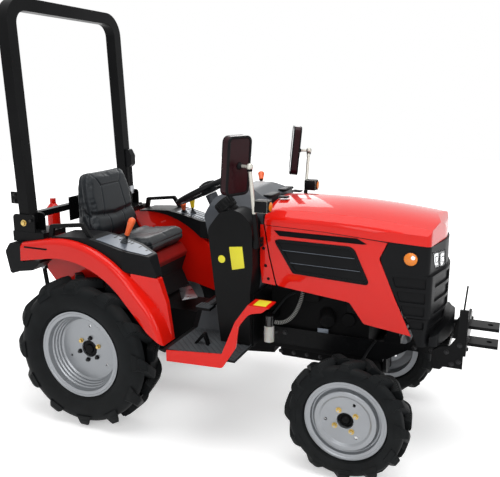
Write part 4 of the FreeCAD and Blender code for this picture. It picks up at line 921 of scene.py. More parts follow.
LEVERS = {"lift": ((0.186, -0.400, 0.972), (0.239, -0.400, 1.088), "knob_orange", 0.098, 0.0185),
          "range": ((0.108, 0.380, 0.992), (0.122, 0.350, 1.046), "knob_orange", 0.062, 0.0182),
          "gear": ((0.150, 0.420, 0.982), (0.156, 0.400, 1.068), "knob_yellow", 0.070, 0.0182),
          "throttle": ((0.700, 0.190, 1.160), (0.655, 0.300, 1.262), "knob_orange", 0.060, 0.0182)}
boots = bmesh.new()
for name, (start, end, colour, length, radius) in LEVERS.items():
    form = bmesh.new()
    grip(form, start, end, length, radius)
    piece(name + "_grip", form, "root", "black_plastic", colour)
    if name != "throttle":
        boot(boots, start, end, 0.021, 0.034 if name == "lift" else 0.020)
piece("lever_boots", boots, "root", "mat_rubber", crease=60)
print("grips:", list(LEVERS))

# %% [markdown]
# ## Wheel, dash and column
# The steering wheel's boss is closed by a domed cap inside a raised ring.  The dash has one round
# gauge with a turned bezel, a glass and a dial, which carries tick marks and a hand, and beside it
# small lamps, a key barrel and a switch.

# %% Steering wheel cap
tilt = math.radians(27)
WHEEL_AXIS = Vector((-math.sin(tilt), 0, math.cos(tilt)))
WHEEL_MIDDLE = at(0.470, 0, 1.210)
cap = bmesh.new()
lathe(cap, WHEEL_MIDDLE + WHEEL_AXIS * 0.025, WHEEL_AXIS,
      [(0.044, -0.004), (0.044, 0.004), (0.041, 0.007), (0.037, 0.005), (0.034, 0.005), (0.030, 0.010),
       (0.018, 0.014), (0.0, 0.0155)], steps=48)
for number in range(3):
    turn = Matrix.Rotation(math.radians(180 + number * 120), 3, WHEEL_AXIS)
    along = turn @ SIDEWAYS.cross(WHEEL_AXIS).normalized()
    across = turn @ SIDEWAYS
    corners = [WHEEL_MIDDLE + along * reach + across * wide + WHEEL_AXIS * 0.0051
               for reach, wide in ((0.046, -0.010), (0.150, -0.007), (0.150, 0.007), (0.046, 0.010))]
    plate(cap, corners, 0.003, WHEEL_AXIS, soft=0.4)
piece("wheel_cap", cap, "steering_wheel", "black_plastic")
print("steering wheel cap")

# %% Dash
finish("dial_white", (0.62, 0.62, 0.58), 0.4, tone=0.03, dust=0.0)
finish("clear_glass", (0.95, 0.96, 0.97), 0.03, tone=0.01, uneven=0.01, grain=60.0, bump=0.02, dust=0.0,
       shader={"Transmission Weight": 1.0, "IOR": 1.46})
DASH_AXIS = Vector((-0.47, 0, 0.883)).normalized()
DASH_UP = DASH_AXIS.cross(SIDEWAYS)


def on_dash(across, up, out=0.0):
    """A place on the sloping face behind the steering wheel."""
    return at(0.640, 0, 1.2262) + SIDEWAYS * across + DASH_UP * up + DASH_AXIS * out


bezels, dial, hand_form, glass = forms(4)
lathe(bezels, on_dash(0, 0, -0.012), DASH_AXIS, [(0.050, 0), (0.050, 0.014), (0.047, 0.018), (0.043, 0.017),
                                                 (0.041, 0.013), (0.041, 0.0)], steps=48)
lathe(dial, on_dash(0, 0, -0.008), DASH_AXIS, [(0, 0), (0.041, 0), (0.041, 0.014), (0.0, 0.014)], steps=48)
for number in range(11):
    turn = math.radians(-120 + number * 24)
    sine, cosine = math.sin(turn), math.cos(turn)
    inner, outer, half = 0.028 if number % 5 == 0 else 0.032, 0.037, 0.0007
    corners = [on_dash(sine * r + cosine * w, cosine * r - sine * w, 0.0061)
               for r, w in ((inner, -half), (outer, -half), (outer, half), (inner, half))]
    plate(hand_form, corners, 0.0004, DASH_AXIS, soft=0)
plate(hand_form, [on_dash(across, up, 0.0066) for across, up in
                  ((-0.012, -0.006), (0.022, 0.0205), (0.0235, 0.0190), (-0.0085, -0.0085))],
      0.0006, DASH_AXIS, soft=0)
lathe(glass, on_dash(0, 0, 0.0078), DASH_AXIS, [(0, 0), (0.0405, 0), (0.0405, 0.001), (0.0, 0.0022)],
      steps=48)
for across in (-0.095, 0.095):
    lathe(bezels, on_dash(across, 0.010, -0.006), DASH_AXIS, [(0.013, 0), (0.013, 0.010), (0.010, 0.012),
                                                              (0.007, 0.018), (0.0, 0.019)])
    lathe(bezels, on_dash(across, -0.030, -0.006), DASH_AXIS, [(0.010, 0), (0.010, 0.008), (0.008, 0.010),
                                                               (0.0, 0.011)])
pieces("root", [("dash_bezels", bezels, "black_plastic"), ("dash_dial", dial, "lamp_glass", "dial_white")])
piece("dash_marks", hand_form, "root", "black_plastic", merge=False)
piece("dash_glass", glass, "root", "lamp_glass", "clear_glass")
print("dash gauge with 11 marks and a hand")

# %% [markdown]
# ## Floor mat, pedals and platform
# The mat is moulded with ribs that shed mud: straight ones over the middle hump and slanted ones on
# the flat sides.  Each rib is one thin bevelled plate, and the slanted ones are clipped to the mat's
# outline before they are made.

# %% Mat ribs
LOW_X, HIGH_X, LOW_Y, HIGH_Y = 0.512, 0.850, 0.236, 0.530
RIB, RIB_HALF = 0.003, 0.0055
ribs = bmesh.new()
for number in range(8):
    top_plate(ribs, 0.515, 0.600, -0.133 + number * 0.038, 0.005, 0.6015, RIB, soft=0.4)
for hand in SIDES.values():
    for number in range(19):
        offset = LOW_X - HIGH_Y + 0.020 + number * 0.036
        start, end = max(LOW_Y, LOW_X - offset), min(HIGH_Y, HIGH_X - offset)
        if end - start > 0.03:
            corners = [(y + offset - w, y + w) for y, w in ((start, RIB_HALF), (end, RIB_HALF),
                                                            (end, -RIB_HALF), (start, -RIB_HALF))]
            plate(ribs, [at(min(max(x, LOW_X), HIGH_X), hand * min(max(y, LOW_Y), HIGH_Y), 0.5058)
                         for x, y in corners], RIB, UP, soft=0.4)
piece("mat_ribs", ribs, "root", "mat_rubber", merge=False)

# %% Pedal pads and hump plate
pads, steel = forms(2)
for y in (-0.285, 0.285):
    top_plate(pads, 0.544, 0.626, y, 0.036, 0.6538, 0.004, soft=0.4, round_corners=0.008)
    for number in range(5):
        x = 0.553 + number * 0.0145
        top_plate(pads, x, x + 0.007, y, 0.030, 0.6576, 0.0025, soft=0.4)
for y in (-0.230, 0.230):
    lathe(steel, at(0.672, y, 0.700), (0.62, -y * 0.35, 0.30),
          [(0.0, 0), (0.006, 0), (0.006, 0.12), (0.0, 0.12)], steps=16)
plate(steel, [at(x, y, 0.612) for x, y in
              ((0.255, 0.035), (0.290, 0.105), (0.432, -0.074), (0.372, -0.150))],
      0.003, UP, soft=0.4, round_corners=0.012)
pieces("root", [("pedal_rubbers", pads, "mat_rubber"), ("floor_steel", steel, "bare_steel")], merge=False)
print("pedal rubbers and hump plate")

# %% [markdown]
# ## Lamps in the nose
# Each headlamp has a black surround and two square reflectors, each with a dark ring and a bright
# middle.  The nose is flat but set back to each side, so a helper turns a place across and up the
# nose into a point on it, and plates laid there follow the slope.

# %% Headlamp parts
finish("reflector", (0.80, 0.81, 0.82), 0.12, tone=0.04, uneven=0.03, dust=0.0, shader={"Metallic": 0.9})
LAMP_LEAN = 0.135


def on_nose(hand, y, z, out=0.0):
    """A point on the nose's sloping front face, given how far across and up it lies."""
    return at(1.7335 - 0.062 * y / 0.268 + out * 0.974, hand * (y + out * 0.225), z)


def nose_plate(form, hand, points, thickness, out, **settings):
    """A thin plate on the nose's front face."""
    corners = [on_nose(hand, y, z, out) for y, z in points]
    plate(form, corners, thickness, (0.974, hand * 0.225, 0), **settings)


surrounds, reflectors = forms(2)
for hand in SIDES.values():
    for strip in ([(0.073, 1.009), (0.238, 1.031), (0.238, 1.026), (0.073, 1.004)],
                  [(0.053, 0.929), (0.190, 0.946), (0.192, 0.950), (0.054, 0.933)],
                  [(0.073, 1.008), (0.077, 1.009), (0.058, 0.930), (0.053, 0.929)],
                  [(0.148, 1.017), (0.151, 1.018), (0.134, 0.940), (0.131, 0.939)],
                  [(0.234, 1.030), (0.238, 1.030), (0.194, 0.946), (0.189, 0.946)]):
        nose_plate(surrounds, hand, strip, 0.002, 0.0005, soft=0.4)
    for y, z in ((0.100, 0.970), (0.182, 0.986)):
        square = [(across, up + LAMP_LEAN * across) for across, up in
                  ((-0.020, 0.030), (0.032, 0.030), (0.022, -0.026), (-0.030, -0.026))]
        for form, share, thickness, out, radius in ((reflectors, 1.0, 0.0012, 0.0002, 0.008),
                                                    (surrounds, 0.55, 0.0008, 0.0014, 0.006),
                                                    (reflectors, 0.44, 0.0010, 0.0020, 0.005)):
            nose_plate(form, hand, [(y + a * share, z + b * share) for a, b in square], thickness, out,
                       round_corners=radius)
pieces("hood", [("headlamp_surrounds", surrounds, "black_plastic"),
                ("headlamp_reflectors", reflectors, "lamp_glass", "reflector")], merge=False)
print("headlamp surrounds and reflectors")

# %% [markdown]
# ### Round signals
# A signal is a moulded amber lens with a rim and a shallow dome, with a small bright disc set up
# and forward of its middle as a painted highlight on the dome.

# %% Signal lenses
SIGNAL_X, SIGNAL_Z = 1.593, 1.000
domes, glints, rims = forms(3)
for hand in SIDES.values():
    out = (0, hand, 0)
    lathe(domes, at(SIGNAL_X, hand * 0.2758, SIGNAL_Z), out,
          [(0, 0), (0.0290, 0), (0.0285, 0.0012), (0.022, 0.0030), (0.012, 0.0042), (0, 0.0046)], steps=40)
    lathe(rims, at(SIGNAL_X, hand * 0.2740, SIGNAL_Z), out,
          [(0.0335, -0.004), (0.0335, 0.002), (0.0320, 0.0032), (0.0300, 0.0030), (0.0296, 0.0)], steps=40)
    # A bright disc up and forward of the lens's middle: a painted highlight on the dome.
    lathe(glints, at(SIGNAL_X + 0.010, hand * 0.2788, SIGNAL_Z + 0.008), out,
          [(0, 0), (0.010, 0), (0.009, 0.0016), (0, 0.0022)])
pieces("hood", [("signal_domes", domes, "amber_lens"), ("signal_rims", rims, "black_plastic"),
                ("signal_glints", glints, "lamp_glass", "reflector")])
print("signals on both sides of the nose")

# %% [markdown]
# ### Vent frames
# The side vents have a raised black rim round their louvres.

# %% Vent rims
VENT_LINE = [(0.950, 1.034), (1.333, 1.030), (1.413, 0.862), (1.053, 0.879)]
rims = bmesh.new()
for hand in SIDES.values():
    frame_form = bmesh.new()
    drawn_face(frame_form, [at(x, hand * 0.2832, z) for x, z in VENT_LINE], 0.020, 5)
    raised_rim(frame_form, 0.011, (0, hand * 0.0022, 0), 0.0012, 2)
    poured(rims, frame_form)
piece("vent_rims", rims, "hood", "black_plastic")
print("vent rims")

# %% Nose bolts
bolts = bmesh.new()
for hand in SIDES.values():
    side_bolts(bolts, hand, 0.194, ((1.820, 0.520), (1.790, 0.505), (1.820, 0.600), (1.765, 0.560)),
               0.009, 0.007)
for y in (-0.150, 0.150):
    for z in (0.570, 0.620):
        bolt(bolts, at(1.848, y, z), (1, 0, 0), size=0.009, height=0.007)
for hand in SIDES.values():
    side_bolts(bolts, hand, 0.182, ((0.93, 0.532), (0.98, 0.532), (1.62, 0.552), (1.70, 0.552)),
               0.010, 0.008)
piece("nose_bolts", bolts, "root", "black_paint", "dark_bolt")
print("bolts on the nose bracket and the rails")

# %% [markdown]
# ## Mirrors and side lamps
# A mirror is a flat glass in a moulded shell whose raised rim runs round both faces.  It leans and
# is turned a little towards the driver, so the pieces are drawn flat and then turned and moved by
# one matrix; the left one is the right one mirrored.  The rim is an inset face, extruded.

# %% Mirror shells
finish("mirror_glass", (0.55, 0.57, 0.60), 0.03, tone=0.02, uneven=0.01, grain=40.0, bump=0.01, dust=0.0,
       shader={"Metallic": 1.0})
TURNED = Matrix.Rotation(math.radians(-22), 4, "Z") @ Matrix.Rotation(math.radians(5), 4, "Y")
POST_TOP = (0.892, 0.435, 1.393)


def on_hand(place, hand):
    """A place given for the left side, on either side."""
    return at(place[0], hand * place[1], place[2])


def mirror_matrix(hand):
    """From a mirror drawn flat, its middle at the origin, to its place."""
    shift = TURNED @ Vector((-0.017, 0, 0))
    place = at(0.815 + shift.x, -0.415 + shift.y, 1.395)
    matrix = Matrix.Translation(place) @ TURNED
    return matrix if hand == -1 else Matrix.Scale(-1, 4, (0, 1, 0)) @ matrix


def mirror_face(form, half_y, half_z, x, radius):
    """An upright rectangle with round corners."""
    drawn_face(form, [(x, y, z) for y, z in ((-half_y, -half_z), (half_y, -half_z), (half_y, half_z),
                                             (-half_y, half_z))], radius, 6)


rims, glasses, pivots = forms(3)
for hand in SIDES.values():
    for x, thickness in ((0.034, 0.008), (0.004, -0.007)):
        form = bmesh.new()
        mirror_face(form, 0.0728, 0.1358, x, 0.030)
        raised_rim(form, 0.013, (thickness, 0, 0), abs(thickness) * 0.45, 3)
        bmesh.ops.transform(form, matrix=mirror_matrix(hand), verts=form.verts)
        poured(rims, form)
    sheet = bmesh.new()
    mirror_face(sheet, 0.061, 0.124, -0.001, 0.022)
    bmesh.ops.solidify(sheet, geom=list(sheet.faces), thickness=0.0015)
    bmesh.ops.recalc_face_normals(sheet, faces=sheet.faces)
    bmesh.ops.transform(sheet, matrix=mirror_matrix(hand), verts=sheet.verts)
    poured(glasses, sheet)
    arm_end, ball = on_hand((0.835, 0.420, 1.393), hand), on_hand(POST_TOP, hand)
    lathe(pivots, arm_end - (ball - arm_end).normalized() * 0.004, ball - arm_end,
          [(0, 0), (0.017, 0), (0.017, 0.008), (0.012, 0.012), (0.0085, 0.020), (0, 0.020)])
    lathe(pivots, ball - UP * 0.021, UP,
          [(0, 0), (0.011, 0), (0.0125, 0.004), (0.0125, 0.014), (0.0, 0.014)])
pieces("root", [("mirror_rims", rims, "black_plastic"),
                ("mirror_glasses", glasses, "lamp_glass", "mirror_glass"),
                ("mirror_pivots", pivots, "black_plastic")])
print("mirror rims, glasses and pivots")

# %% Side lamp housings and posts
LAMP_Y, LAMP_Z = 0.372, 1.207
housings, lenses, sleeves = forms(3)
for hand in SIDES.values():
    side_box(housings, hand, (0.8965, 0.9635), (0.3435, 0.4015), (1.1785, 1.2365), 0.006)
    lathe(housings, at(0.9630, hand * LAMP_Y, LAMP_Z), (1, 0, 0),
          [(0.0262, 0), (0.0262, 0.005), (0.0245, 0.0065), (0.0222, 0.0060), (0.0222, 0.0)])
    lathe(lenses, at(0.9635, hand * LAMP_Y, LAMP_Z), (1, 0, 0),
          [(0, 0), (0.0218, 0), (0.0218, 0.0065), (0.017, 0.0088), (0.008, 0.0102), (0, 0.0105)])
    foot, top = on_hand((0.895, 0.350, 1.005), hand), on_hand(POST_TOP, hand)
    along = (top - foot).normalized()
    lathe(sleeves, foot, along, [(0, 0), (0.0115, 0), (0.0115, 0.165), (0.0105, 0.172), (0, 0.172)])
    side_box(sleeves, hand, (0.8808, 0.9015), (0.2815, 0.3665), (0.9985, 1.0415), 0.003)
    for z in (1.010, 1.030):
        bolt(sleeves, at(0.9012, hand * 0.315, z), (1, 0, 0), size=0.006, height=0.005)
pieces("root", [("side_lamp_housings", housings, "black_plastic"),
                ("side_lamp_lenses", lenses, "amber_lens"), ("post_sleeves", sleeves, "black_paint")])
print("side lamps and post feet")

# %% [markdown]
# ### Filler cap
# The filler cap is a turned dome with grip ribs round its rim, on a neck with a collar.

# %% Filler cap
cap = bmesh.new()
base, tip = at(0.722, -0.298, 1.172), at(0.692, -0.298, 1.206)
axis = (tip - base).normalized()
lathe(cap, base - axis * 0.006, axis,
      [(0.048, 0), (0.0495, 0.004), (0.0495, 0.012), (0.0480, 0.014), (0.0480, 0.046), (0.0440, 0.052),
       (0.030, 0.056), (0.0, 0.058)], steps=48)
across = axis.cross(SIDEWAYS).normalized()
for number in range(20):
    turn = Matrix.Rotation(math.tau * number / 20, 3, axis)
    middle = base + turn @ across * 0.0485
    outward, around = turn @ across, turn @ SIDEWAYS
    corners = [middle + axis * high + around * wide for high, wide in ((0.008, -0.003), (0.040, -0.0025),
                                                                       (0.040, 0.0025), (0.008, 0.003))]
    plate(cap, corners, 0.0025, outward, soft=0.4)
for lift, wide in ((-0.045, 0.0445), (-0.028, 0.0440)):
    lathe(cap, base + axis * lift, axis,
          [(wide - 0.004, 0), (wide, 0.002), (wide, 0.008), (wide - 0.004, 0.010)], steps=48)
piece("filler_cap", cap, "root", "tank_plastic", merge=False)
print("filler cap with 20 ribs")

# %% [markdown]
# ## Roll bar fittings
# The roll bar folds on a pin through two cheeks each side, with a second hole for the locking pin
# above it.  Bolts, washers, the locking pin's head, and the short end of the belt's webbing with its
# tongue are added here, each on the body that it moves with.

# %% Roll bar bolts and pins
PIVOT_X, PIVOT_Z = -0.361, 1.050
bolts, brass, tongue, webbing = forms(4)
for hand in SIDES.values():
    bolt(brass, at(PIVOT_X, hand * 0.498, PIVOT_Z), (0, hand, 0), size=0.013, height=0.009)
    bolt(bolts, at(PIVOT_X, hand * 0.411, PIVOT_Z), (0, -hand, 0), size=0.012, height=0.009)
    for x, y in ((-0.410, 0.350), (-0.410, 0.388), (-0.262, 0.350), (-0.262, 0.470)):
        bolt(bolts, at(x, hand * y, 1.004), UP, size=0.009, height=0.008)
    side_bolts(bolts, hand, 0.334, ((0.0, 0.470), (0.032, 0.470), (-0.120, 0.700), (-0.215, 0.860)),
               0.011, 0.009)
    lathe(bolts, at(-0.312, hand * 0.498, 1.066), (0, hand, 0),
          [(0, 0), (0.008, 0), (0.008, 0.010), (0.006, 0.012), (0, 0.012)])
piece("hoop_base_bolts", bolts, "root", "black_paint", "dark_bolt")
piece("hoop_pivot_bolts", brass, "root", "bare_steel", "brass_nut")
plate(webbing, [at(x, y, z) for x, y, z in ((-0.319, 0.438, 1.255), (-0.319, 0.472, 1.255),
                                            (-0.315, 0.472, 1.120), (-0.315, 0.438, 1.120))],
      0.002, (1, 0, 0), soft=0.4)
finish("belt_web", (0.010, 0.010, 0.011), 0.6, tone=0.2, grain=1500.0, bump=0.4, shader=MATT)
piece("belt_web", webbing, "rops_hoop", "black_plastic", "belt_web")
rounded_box(tongue, at(-0.319, 0.432, 1.070), at(-0.311, 0.478, 1.122), 0.003)
piece("belt_tongue", tongue, "rops_hoop", "bare_steel")
for side, hand in SIDES.items():
    catches = bmesh.new()
    side_bolts(catches, hand, 0.4310, ((-0.470, 1.150), (-0.470, 1.183)), 0.008, 0.007)
    piece(f"hoop_catch_bolts_{side}", catches, "rops_hoop", "black_paint", "dark_bolt")
print("roll bar fittings")

# %% [markdown]
# ## Rear lamps
# Each rear lamp box has a red lens and an amber one above it on its rear face, both ribbed so that
# they spread the light.

# %% Rear lenses
LENS_LOOK = {"tone": 0.1, "tone_size": 20.0, "grain": 160.0, "bump": 0.3, "depth": 0.001,
             "shader": {"Specular IOR Level": 0.2}}
finish("red_lens", (0.42, 0.006, 0.005), 0.2, **LENS_LOOK)
finish("amber_cover", (0.75, 0.13, 0.006), 0.2, **LENS_LOOK)
red, amber = forms(2)


def on_lamp(hand, share, y, out):
    """A point on the rear lamp's sloping rear face, from its bottom to its top."""
    low, high = Vector((-0.4405, 0.800)), Vector((-0.4585, 0.888))
    spot = low + (high - low) * share
    return at(spot.x - out * 0.98, hand * y, spot.y - out * 0.2)


def lens_plate(form, hand, share1, share2, y1, y2, out, thickness, **settings):
    """A plate on the rear face of a lamp, from one share of its height to another."""
    plate(form, [on_lamp(hand, share, y, out) for share, y in ((share1, y1), (share1, y2), (share2, y2),
                                                               (share2, y1))],
          thickness, (-0.98, 0, -0.2), soft=0.4, **settings)


for hand in SIDES.values():
    for form, share1, share2 in ((red, 0.06, 0.52), (amber, 0.56, 0.97)):
        lens_plate(form, hand, share1, share2, 0.448, 0.532, 0.0002, 0.005, round_corners=0.006)
        for number in range(6):
            y = 0.456 + number * 0.0125
            lens_plate(form, hand, share1 + 0.05, share2 - 0.05, y, y + 0.006, 0.0050, 0.0015)
pieces("root", [("rear_lens_red", red, "amber_lens", "red_lens"),
                ("rear_lens_amber", amber, "amber_lens", "amber_cover")], merge=False)
print("rear lenses")

# %% [markdown]
# ## Two-coloured parts
# Some parts are painted, or moulded, in two colours that meet at a height: the seat stand is red
# under the cushion and black below, and the fuel filter has a black head over a milky bowl.  The
# height from the Object coordinates makes a sharp mask, which mixes a second colour in before the
# shader, so the part's form is left as it is.

# %% Colours that meet at a height
def split_colour(name, source, other, height, above=True):
    """A copy of a finish that turns into another colour above or below a height."""
    material = FINISHES[source].copy()
    material.name = name
    tree = material.node_tree
    principled = tree.nodes["Principled BSDF"]
    place = add(tree, "SeparateXYZ", [(0, add(tree, "TexCoord").outputs["Object"])]).outputs["Z"]
    low, high = (height, height + 0.002) if above else (height, height - 0.002)
    mask = add(tree, "MapRange", [("Value", place), ("From Min", low), ("From Max", high)])
    mixed = add(tree, "Mix", [("Factor", mask.outputs[0])], data_type="RGBA")
    tree.links.new(principled.inputs["Base Color"].links[0].from_socket, mixed.inputs["A"])
    mixed.inputs["B"].default_value = (*other, 1)
    tree.links.new(mixed.outputs["Result"], principled.inputs["Base Color"])
    FINISHES[name] = material
    return material


nodes["seat_base"].data.materials[0] = split_colour("seat_stand", "red_cover", (0.005, 0.005, 0.0055), 0.775,
                                                    above=False)
nodes["fuel_filter"].data.materials[0] = split_colour("filter_parts", "filter_bowl",
                                                      (0.006, 0.006, 0.007), 0.600)
print("seat stand and fuel filter in two colours")

# %% [markdown]
# ## The engine's side
# What shows through the gap under the hood is a dark casting with things bolted to it: an oil
# filter, an alternator with its pulley, a pump with thin steel pipes, and black pipes that lead away.
# Pipes follow a smooth NURBS line.

# %% Filter, alternator and pump
OUTLETS = [1.060 + number * 0.038 for number in range(3)]
machinery, bright, fasteners = forms(3)
for hand in SIDES.values():
    lathe(machinery, at(1.300, hand * 0.158, 0.640), (0, hand, 0),
          [(0, 0), (0.030, 0), (0.034, 0.004), (0.034, 0.012), (0.0325, 0.016), (0.0, 0.016)])
    side_bolts(fasteners, hand, 0.160,
               [(0.95 + number * 0.07, z) for number in range(7) for z in (0.420, 0.800)], 0.008, 0.007)
    side_box(machinery, hand, (0.960, 1.360), (0.159, 0.166), (0.440, 0.500), 0.003)
lathe(machinery, at(1.190, -0.150, 0.655), (0.25, -1, -0.35),
      [(0, 0), (0.036, 0), (0.038, 0.006), (0.038, 0.060), (0.034, 0.070), (0.020, 0.074), (0, 0.074)])
lathe(machinery, at(1.300, -0.200, 0.740), (1, 0, 0),
      [(0, 0), (0.030, 0), (0.048, 0.008), (0.050, 0.030), (0.050, 0.060), (0.046, 0.074), (0.020, 0.080),
       (0, 0.080)])
lathe(bright, at(1.382, -0.200, 0.740), (1, 0, 0),
      [(0, 0), (0.030, 0), (0.030, 0.003), (0.022, 0.009), (0.030, 0.015), (0.030, 0.018), (0, 0.018)])
rounded_box(machinery, at(1.040, -0.205, 0.720), at(1.160, -0.158, 0.790), 0.008)
for x in OUTLETS:
    lathe(bright, at(x, -0.184, 0.788), UP,
          [(0, 0), (0.009, 0), (0.009, 0.010), (0.006, 0.014), (0.004, 0.030), (0, 0.030)], steps=20)
pieces("root", [("engine_machinery", machinery, "black_cast"), ("engine_bright_parts", bright, "bare_steel"),
                ("engine_bolts", fasteners, "black_paint", "dark_bolt")], merge=False)
print("engine side parts")


# %% Pipes
def smooth_line(name, points, radius, resolution):
    """An object that follows a smooth NURBS line through points, with a round bevel."""
    curve = bpy.data.curves.new(name + "_line", "CURVE")
    curve.dimensions = "3D"
    curve.bevel_depth, curve.bevel_resolution, curve.resolution_u = radius, 4, resolution
    spline = curve.splines.new("NURBS")
    spline.points.add(len(points) - 1)
    for point, place in zip(spline.points, points):
        point.co = (*at(*place), 1)
    spline.order_u, spline.use_endpoint_u = 3, True
    drawn_line = bpy.data.objects.new(name + "_dressed", curve)
    scene.collection.objects.link(drawn_line)
    return drawn_line


def pipe(name, points, radius, slot):
    """A fixed pipe along a smooth line, made a mesh."""
    drawn_line = smooth_line(name, points, radius, 12)
    drawn_line.data.use_fill_caps = True
    mesh = evaluated(drawn_line)
    bpy.data.objects.remove(drawn_line)
    form = bmesh.new()
    form.from_mesh(mesh)
    bpy.data.meshes.remove(mesh)
    piece(name, form, "root", slot)


for number, x in enumerate(OUTLETS):
    pipe(f"injector_pipe_{number}",
         [(x, -0.184, 0.810), (x, -0.186, 0.850), (x + 0.02, -0.175, 0.880), (x + 0.04, -0.150, 0.900),
          (x + 0.04, -0.130, 0.915)], 0.0032, "bare_steel")
pipe("filter_feed", [(0.935, -0.262, 0.640), (0.940, -0.240, 0.650), (0.965, -0.210, 0.690),
                     (1.000, -0.200, 0.740), (1.050, -0.195, 0.760)], 0.0055, "black_plastic")
pipe("steering_pipe_right", [(1.440, -0.186, 0.560), (1.400, -0.196, 0.500), (1.380, -0.230, 0.440),
                             (1.390, -0.280, 0.415), (1.400, -0.300, 0.400)], 0.006, "black_plastic")
print("pipes on the engine")

# %% [markdown]
# ## Rear shaft and hitch pins
# The drive shaft's stub has splines along it.  Each hitch joint is held by a pin with a turned head,
# which rides with the part that the pin is fixed in, and bolts ring the inner axle housings.

# %% Rear fittings
splines, housing_bolts = forms(2)
shaft_low, shaft_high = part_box("pto_shaft")
middle = (shaft_low + shaft_high) / 2
x1 = shaft_low.x + 0.002
x2 = x1 + 0.078
for number in range(6):
    turn = math.tau * number / 6
    out = Vector((0, math.sin(turn), math.cos(turn)))
    side_way = Vector((0, math.cos(turn), -math.sin(turn)))
    corners = [Vector((x, middle.y, middle.z)) + out * 0.0165 + side_way * w
               for x, w in ((x1, -0.0035), (x2, -0.0035), (x2, 0.0035), (x1, 0.0035))]
    plate(splines, corners, 0.0020, out)
piece("shaft_splines", splines, "pto_shaft", "bare_steel", merge=False)
turns = [math.tau * number / 8 for number in range(8)]
for hand in SIDES.values():
    side_bolts(housing_bolts, hand, 0.178,
               [(math.sin(turn) * 0.085, 0.402 + math.cos(turn) * 0.085) for turn in turns], 0.009, 0.008)
piece("axle_housing_bolts", housing_bolts, "root", "black_paint", "dark_bolt", merge=False)
HITCH_PINS = {"root": [(-0.095, 0.2900, 0.300, 0.012), (-0.535, 0.0450, 0.650, 0.010)],
              "lower_links": [(-0.3792, 0.2980, 0.358, 0.008)],
              "lift_arms": [(-0.4342, 0.2980, 0.758, 0.008)]}
for body, places in HITCH_PINS.items():
    heads = bmesh.new()
    for hand in SIDES.values():
        for x, y, z, radius in places:
            wide = radius + 0.006
            lathe(heads, at(x, hand * y, z), (0, hand, 0),
                  [(0, 0), (wide, 0), (wide, 0.0022), (radius, 0.0030), (radius, 0.0060),
                   (radius * 0.8, 0.0075), (0, 0.0075)])
    piece(f"hitch_pin_heads_{body}", heads, body, "bare_steel", merge=False)
print("rear shaft splines, housing bolts and pin heads")

# %% [markdown]
# ## Last trims
# Small things finish the bodywork: a dark strip in the seam under the hood's cover, which is painted
# shade in that gap, thin light grey lines along the edges of the louvres, which are painted
# highlights on those edges, the latch plates behind the cover, a bare plate on the frame rail, and
# cap screws where sheets are held.

# %% Seam shade, louvre highlights and latches
COWL_FACE = 0.2800
SEAM = [(0.907, 1.1012), (1.200, 1.0914), (1.490, 1.0682)]
seam_shade, lip_highlights, screws, latches = forms(4)
for hand in SIDES.values():
    # A dark strip just inside the seam: painted shade in the gap under the cover.
    for (x1, z1), (x2, z2) in zip(SEAM, SEAM[1:]):
        side_plate(seam_shade, hand, COWL_FACE, [(x1, z1 + 0.0008), (x2, z2 + 0.0008), (x2, z2 - 0.0024),
                                            (x1, z1 - 0.0024)], 0.0012)
    # Thin light grey strips along the louvre edges: painted highlights where those edges catch the light.
    for x1, x2, z in ((0.985, 1.345, 0.985), (1.018, 1.372, 0.927)):
        side_plate(lip_highlights, hand, HOOD_FACE, [(x1, z + 0.0012), (x2, z - 0.0052), (x2, z - 0.0072),
                                           (x1, z - 0.0008)], 0.0014)
    side_bolts(screws, hand, COWL_FACE, ((0.900, 0.985), (0.910, 0.900), (0.925, 0.835)), 0.006, 0.004)
    side_box(screws, hand, (0.850, 0.897), (0.045, 0.165), (1.213, 1.225), 0.004)
    side_box(latches, hand, (0.912, 0.962), (0.085, 0.125), (1.2065, 1.2155), 0.004)
pieces("hood", [("hood_seam_shade", seam_shade, "black_plastic"),
                ("louvre_highlights", lip_highlights, "black_plastic", "grey_plate")])
piece("cowl_screws", screws, "root", "black_plastic", merge=False)
piece("hood_latches", latches, "hood", "black_plastic")
print("seals, louvre lines and latches")

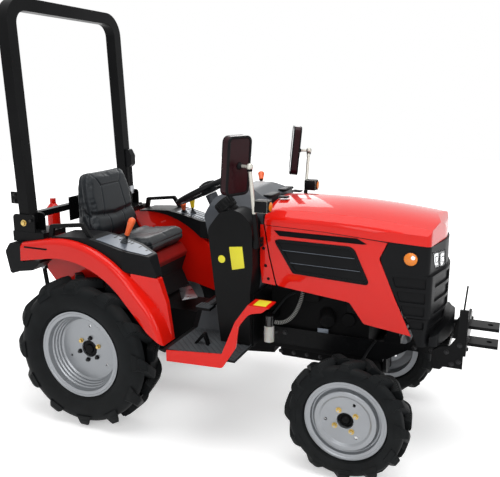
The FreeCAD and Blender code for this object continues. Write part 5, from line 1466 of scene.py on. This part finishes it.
# %% Bare plate on the rail
tag = bmesh.new()
side_plate(tag, -1, 0.1822, [(1.150, 0.560), (1.150, 0.582), (1.205, 0.582), (1.205, 0.560)], 0.0010,
           round_corners=0.003)
piece("rail_plate", tag, "root", "wheel_silver", "grey_plate")
print("rail plate")

# %% [markdown]
# ## Fuel hose
# A thin ribbed hose runs from the fuel filter's head, hangs a little and rises to the pump behind
# the engine's side.  It is one smooth NURBS curve through the same points as its solid, with a
# round bevel, and it goes back into the object at both ends.  A spiral guard lies on it: rings set
# along the same line, which stay with the hose however long it is.  The rings' light grey is partly
# their own colour and partly painted highlight on the ribs.

# %% Hose
HOSE = [(0.9623, -0.290, 0.622), (0.990, -0.290, 0.622), (1.016, -0.288, 0.630), (1.042, -0.284, 0.648),
        (1.064, -0.278, 0.677), (1.080, -0.268, 0.715), (1.090, -0.256, 0.757), (1.092, -0.240, 0.800),
        (1.092, -0.240, 0.842)]
HOSE_LENGTH, HOSE_DIAMETER = 0.297, 0.016
hose = smooth_line("fuel_hose", HOSE, HOSE_DIAMETER / 2, 16)
hose.data.materials.append(FINISHES["tank_plastic"])
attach(hose, "root")
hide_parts("fuel_hose")
plain_hose = smooth_line("plain_hose", HOSE, 0.0, 16)
route = evaluated(plain_hose)
bpy.data.objects.remove(plain_hose)
line = [vert.co.copy() for vert in route.vertices]
RING_GAP, RING_SECTION = 0.0085, [(0.0078, 0), (0.0094, 0.0006), (0.0094, 0.0020), (0.0078, 0.0026)]
rings, travelled, following = bmesh.new(), 0.0, 0.006
for start, end in zip(line, line[1:]):
    step = (end - start).length
    while step > 1e-9 and travelled + step >= following:
        place = start.lerp(end, (following - travelled) / step)
        lathe(rings, place - (end - start).normalized() * 0.0013, end - start, RING_SECTION, steps=16)
        following += RING_GAP
    travelled += step
# Light grey rings: partly the ribs' own colour, partly painted highlight on the ribs.
finish("hose_rib_and_highlight", (0.40, 0.40, 0.38), 0.4, shader=MATT)
guard = piece("fuel_hose_guard", rings, "root", "tank_plastic", "hose_rib_and_highlight", merge=False)
print("hose:", HOSE_LENGTH, "m of", HOSE_DIAMETER, "m hose,", len(guard.data.polygons), "faces of guard")
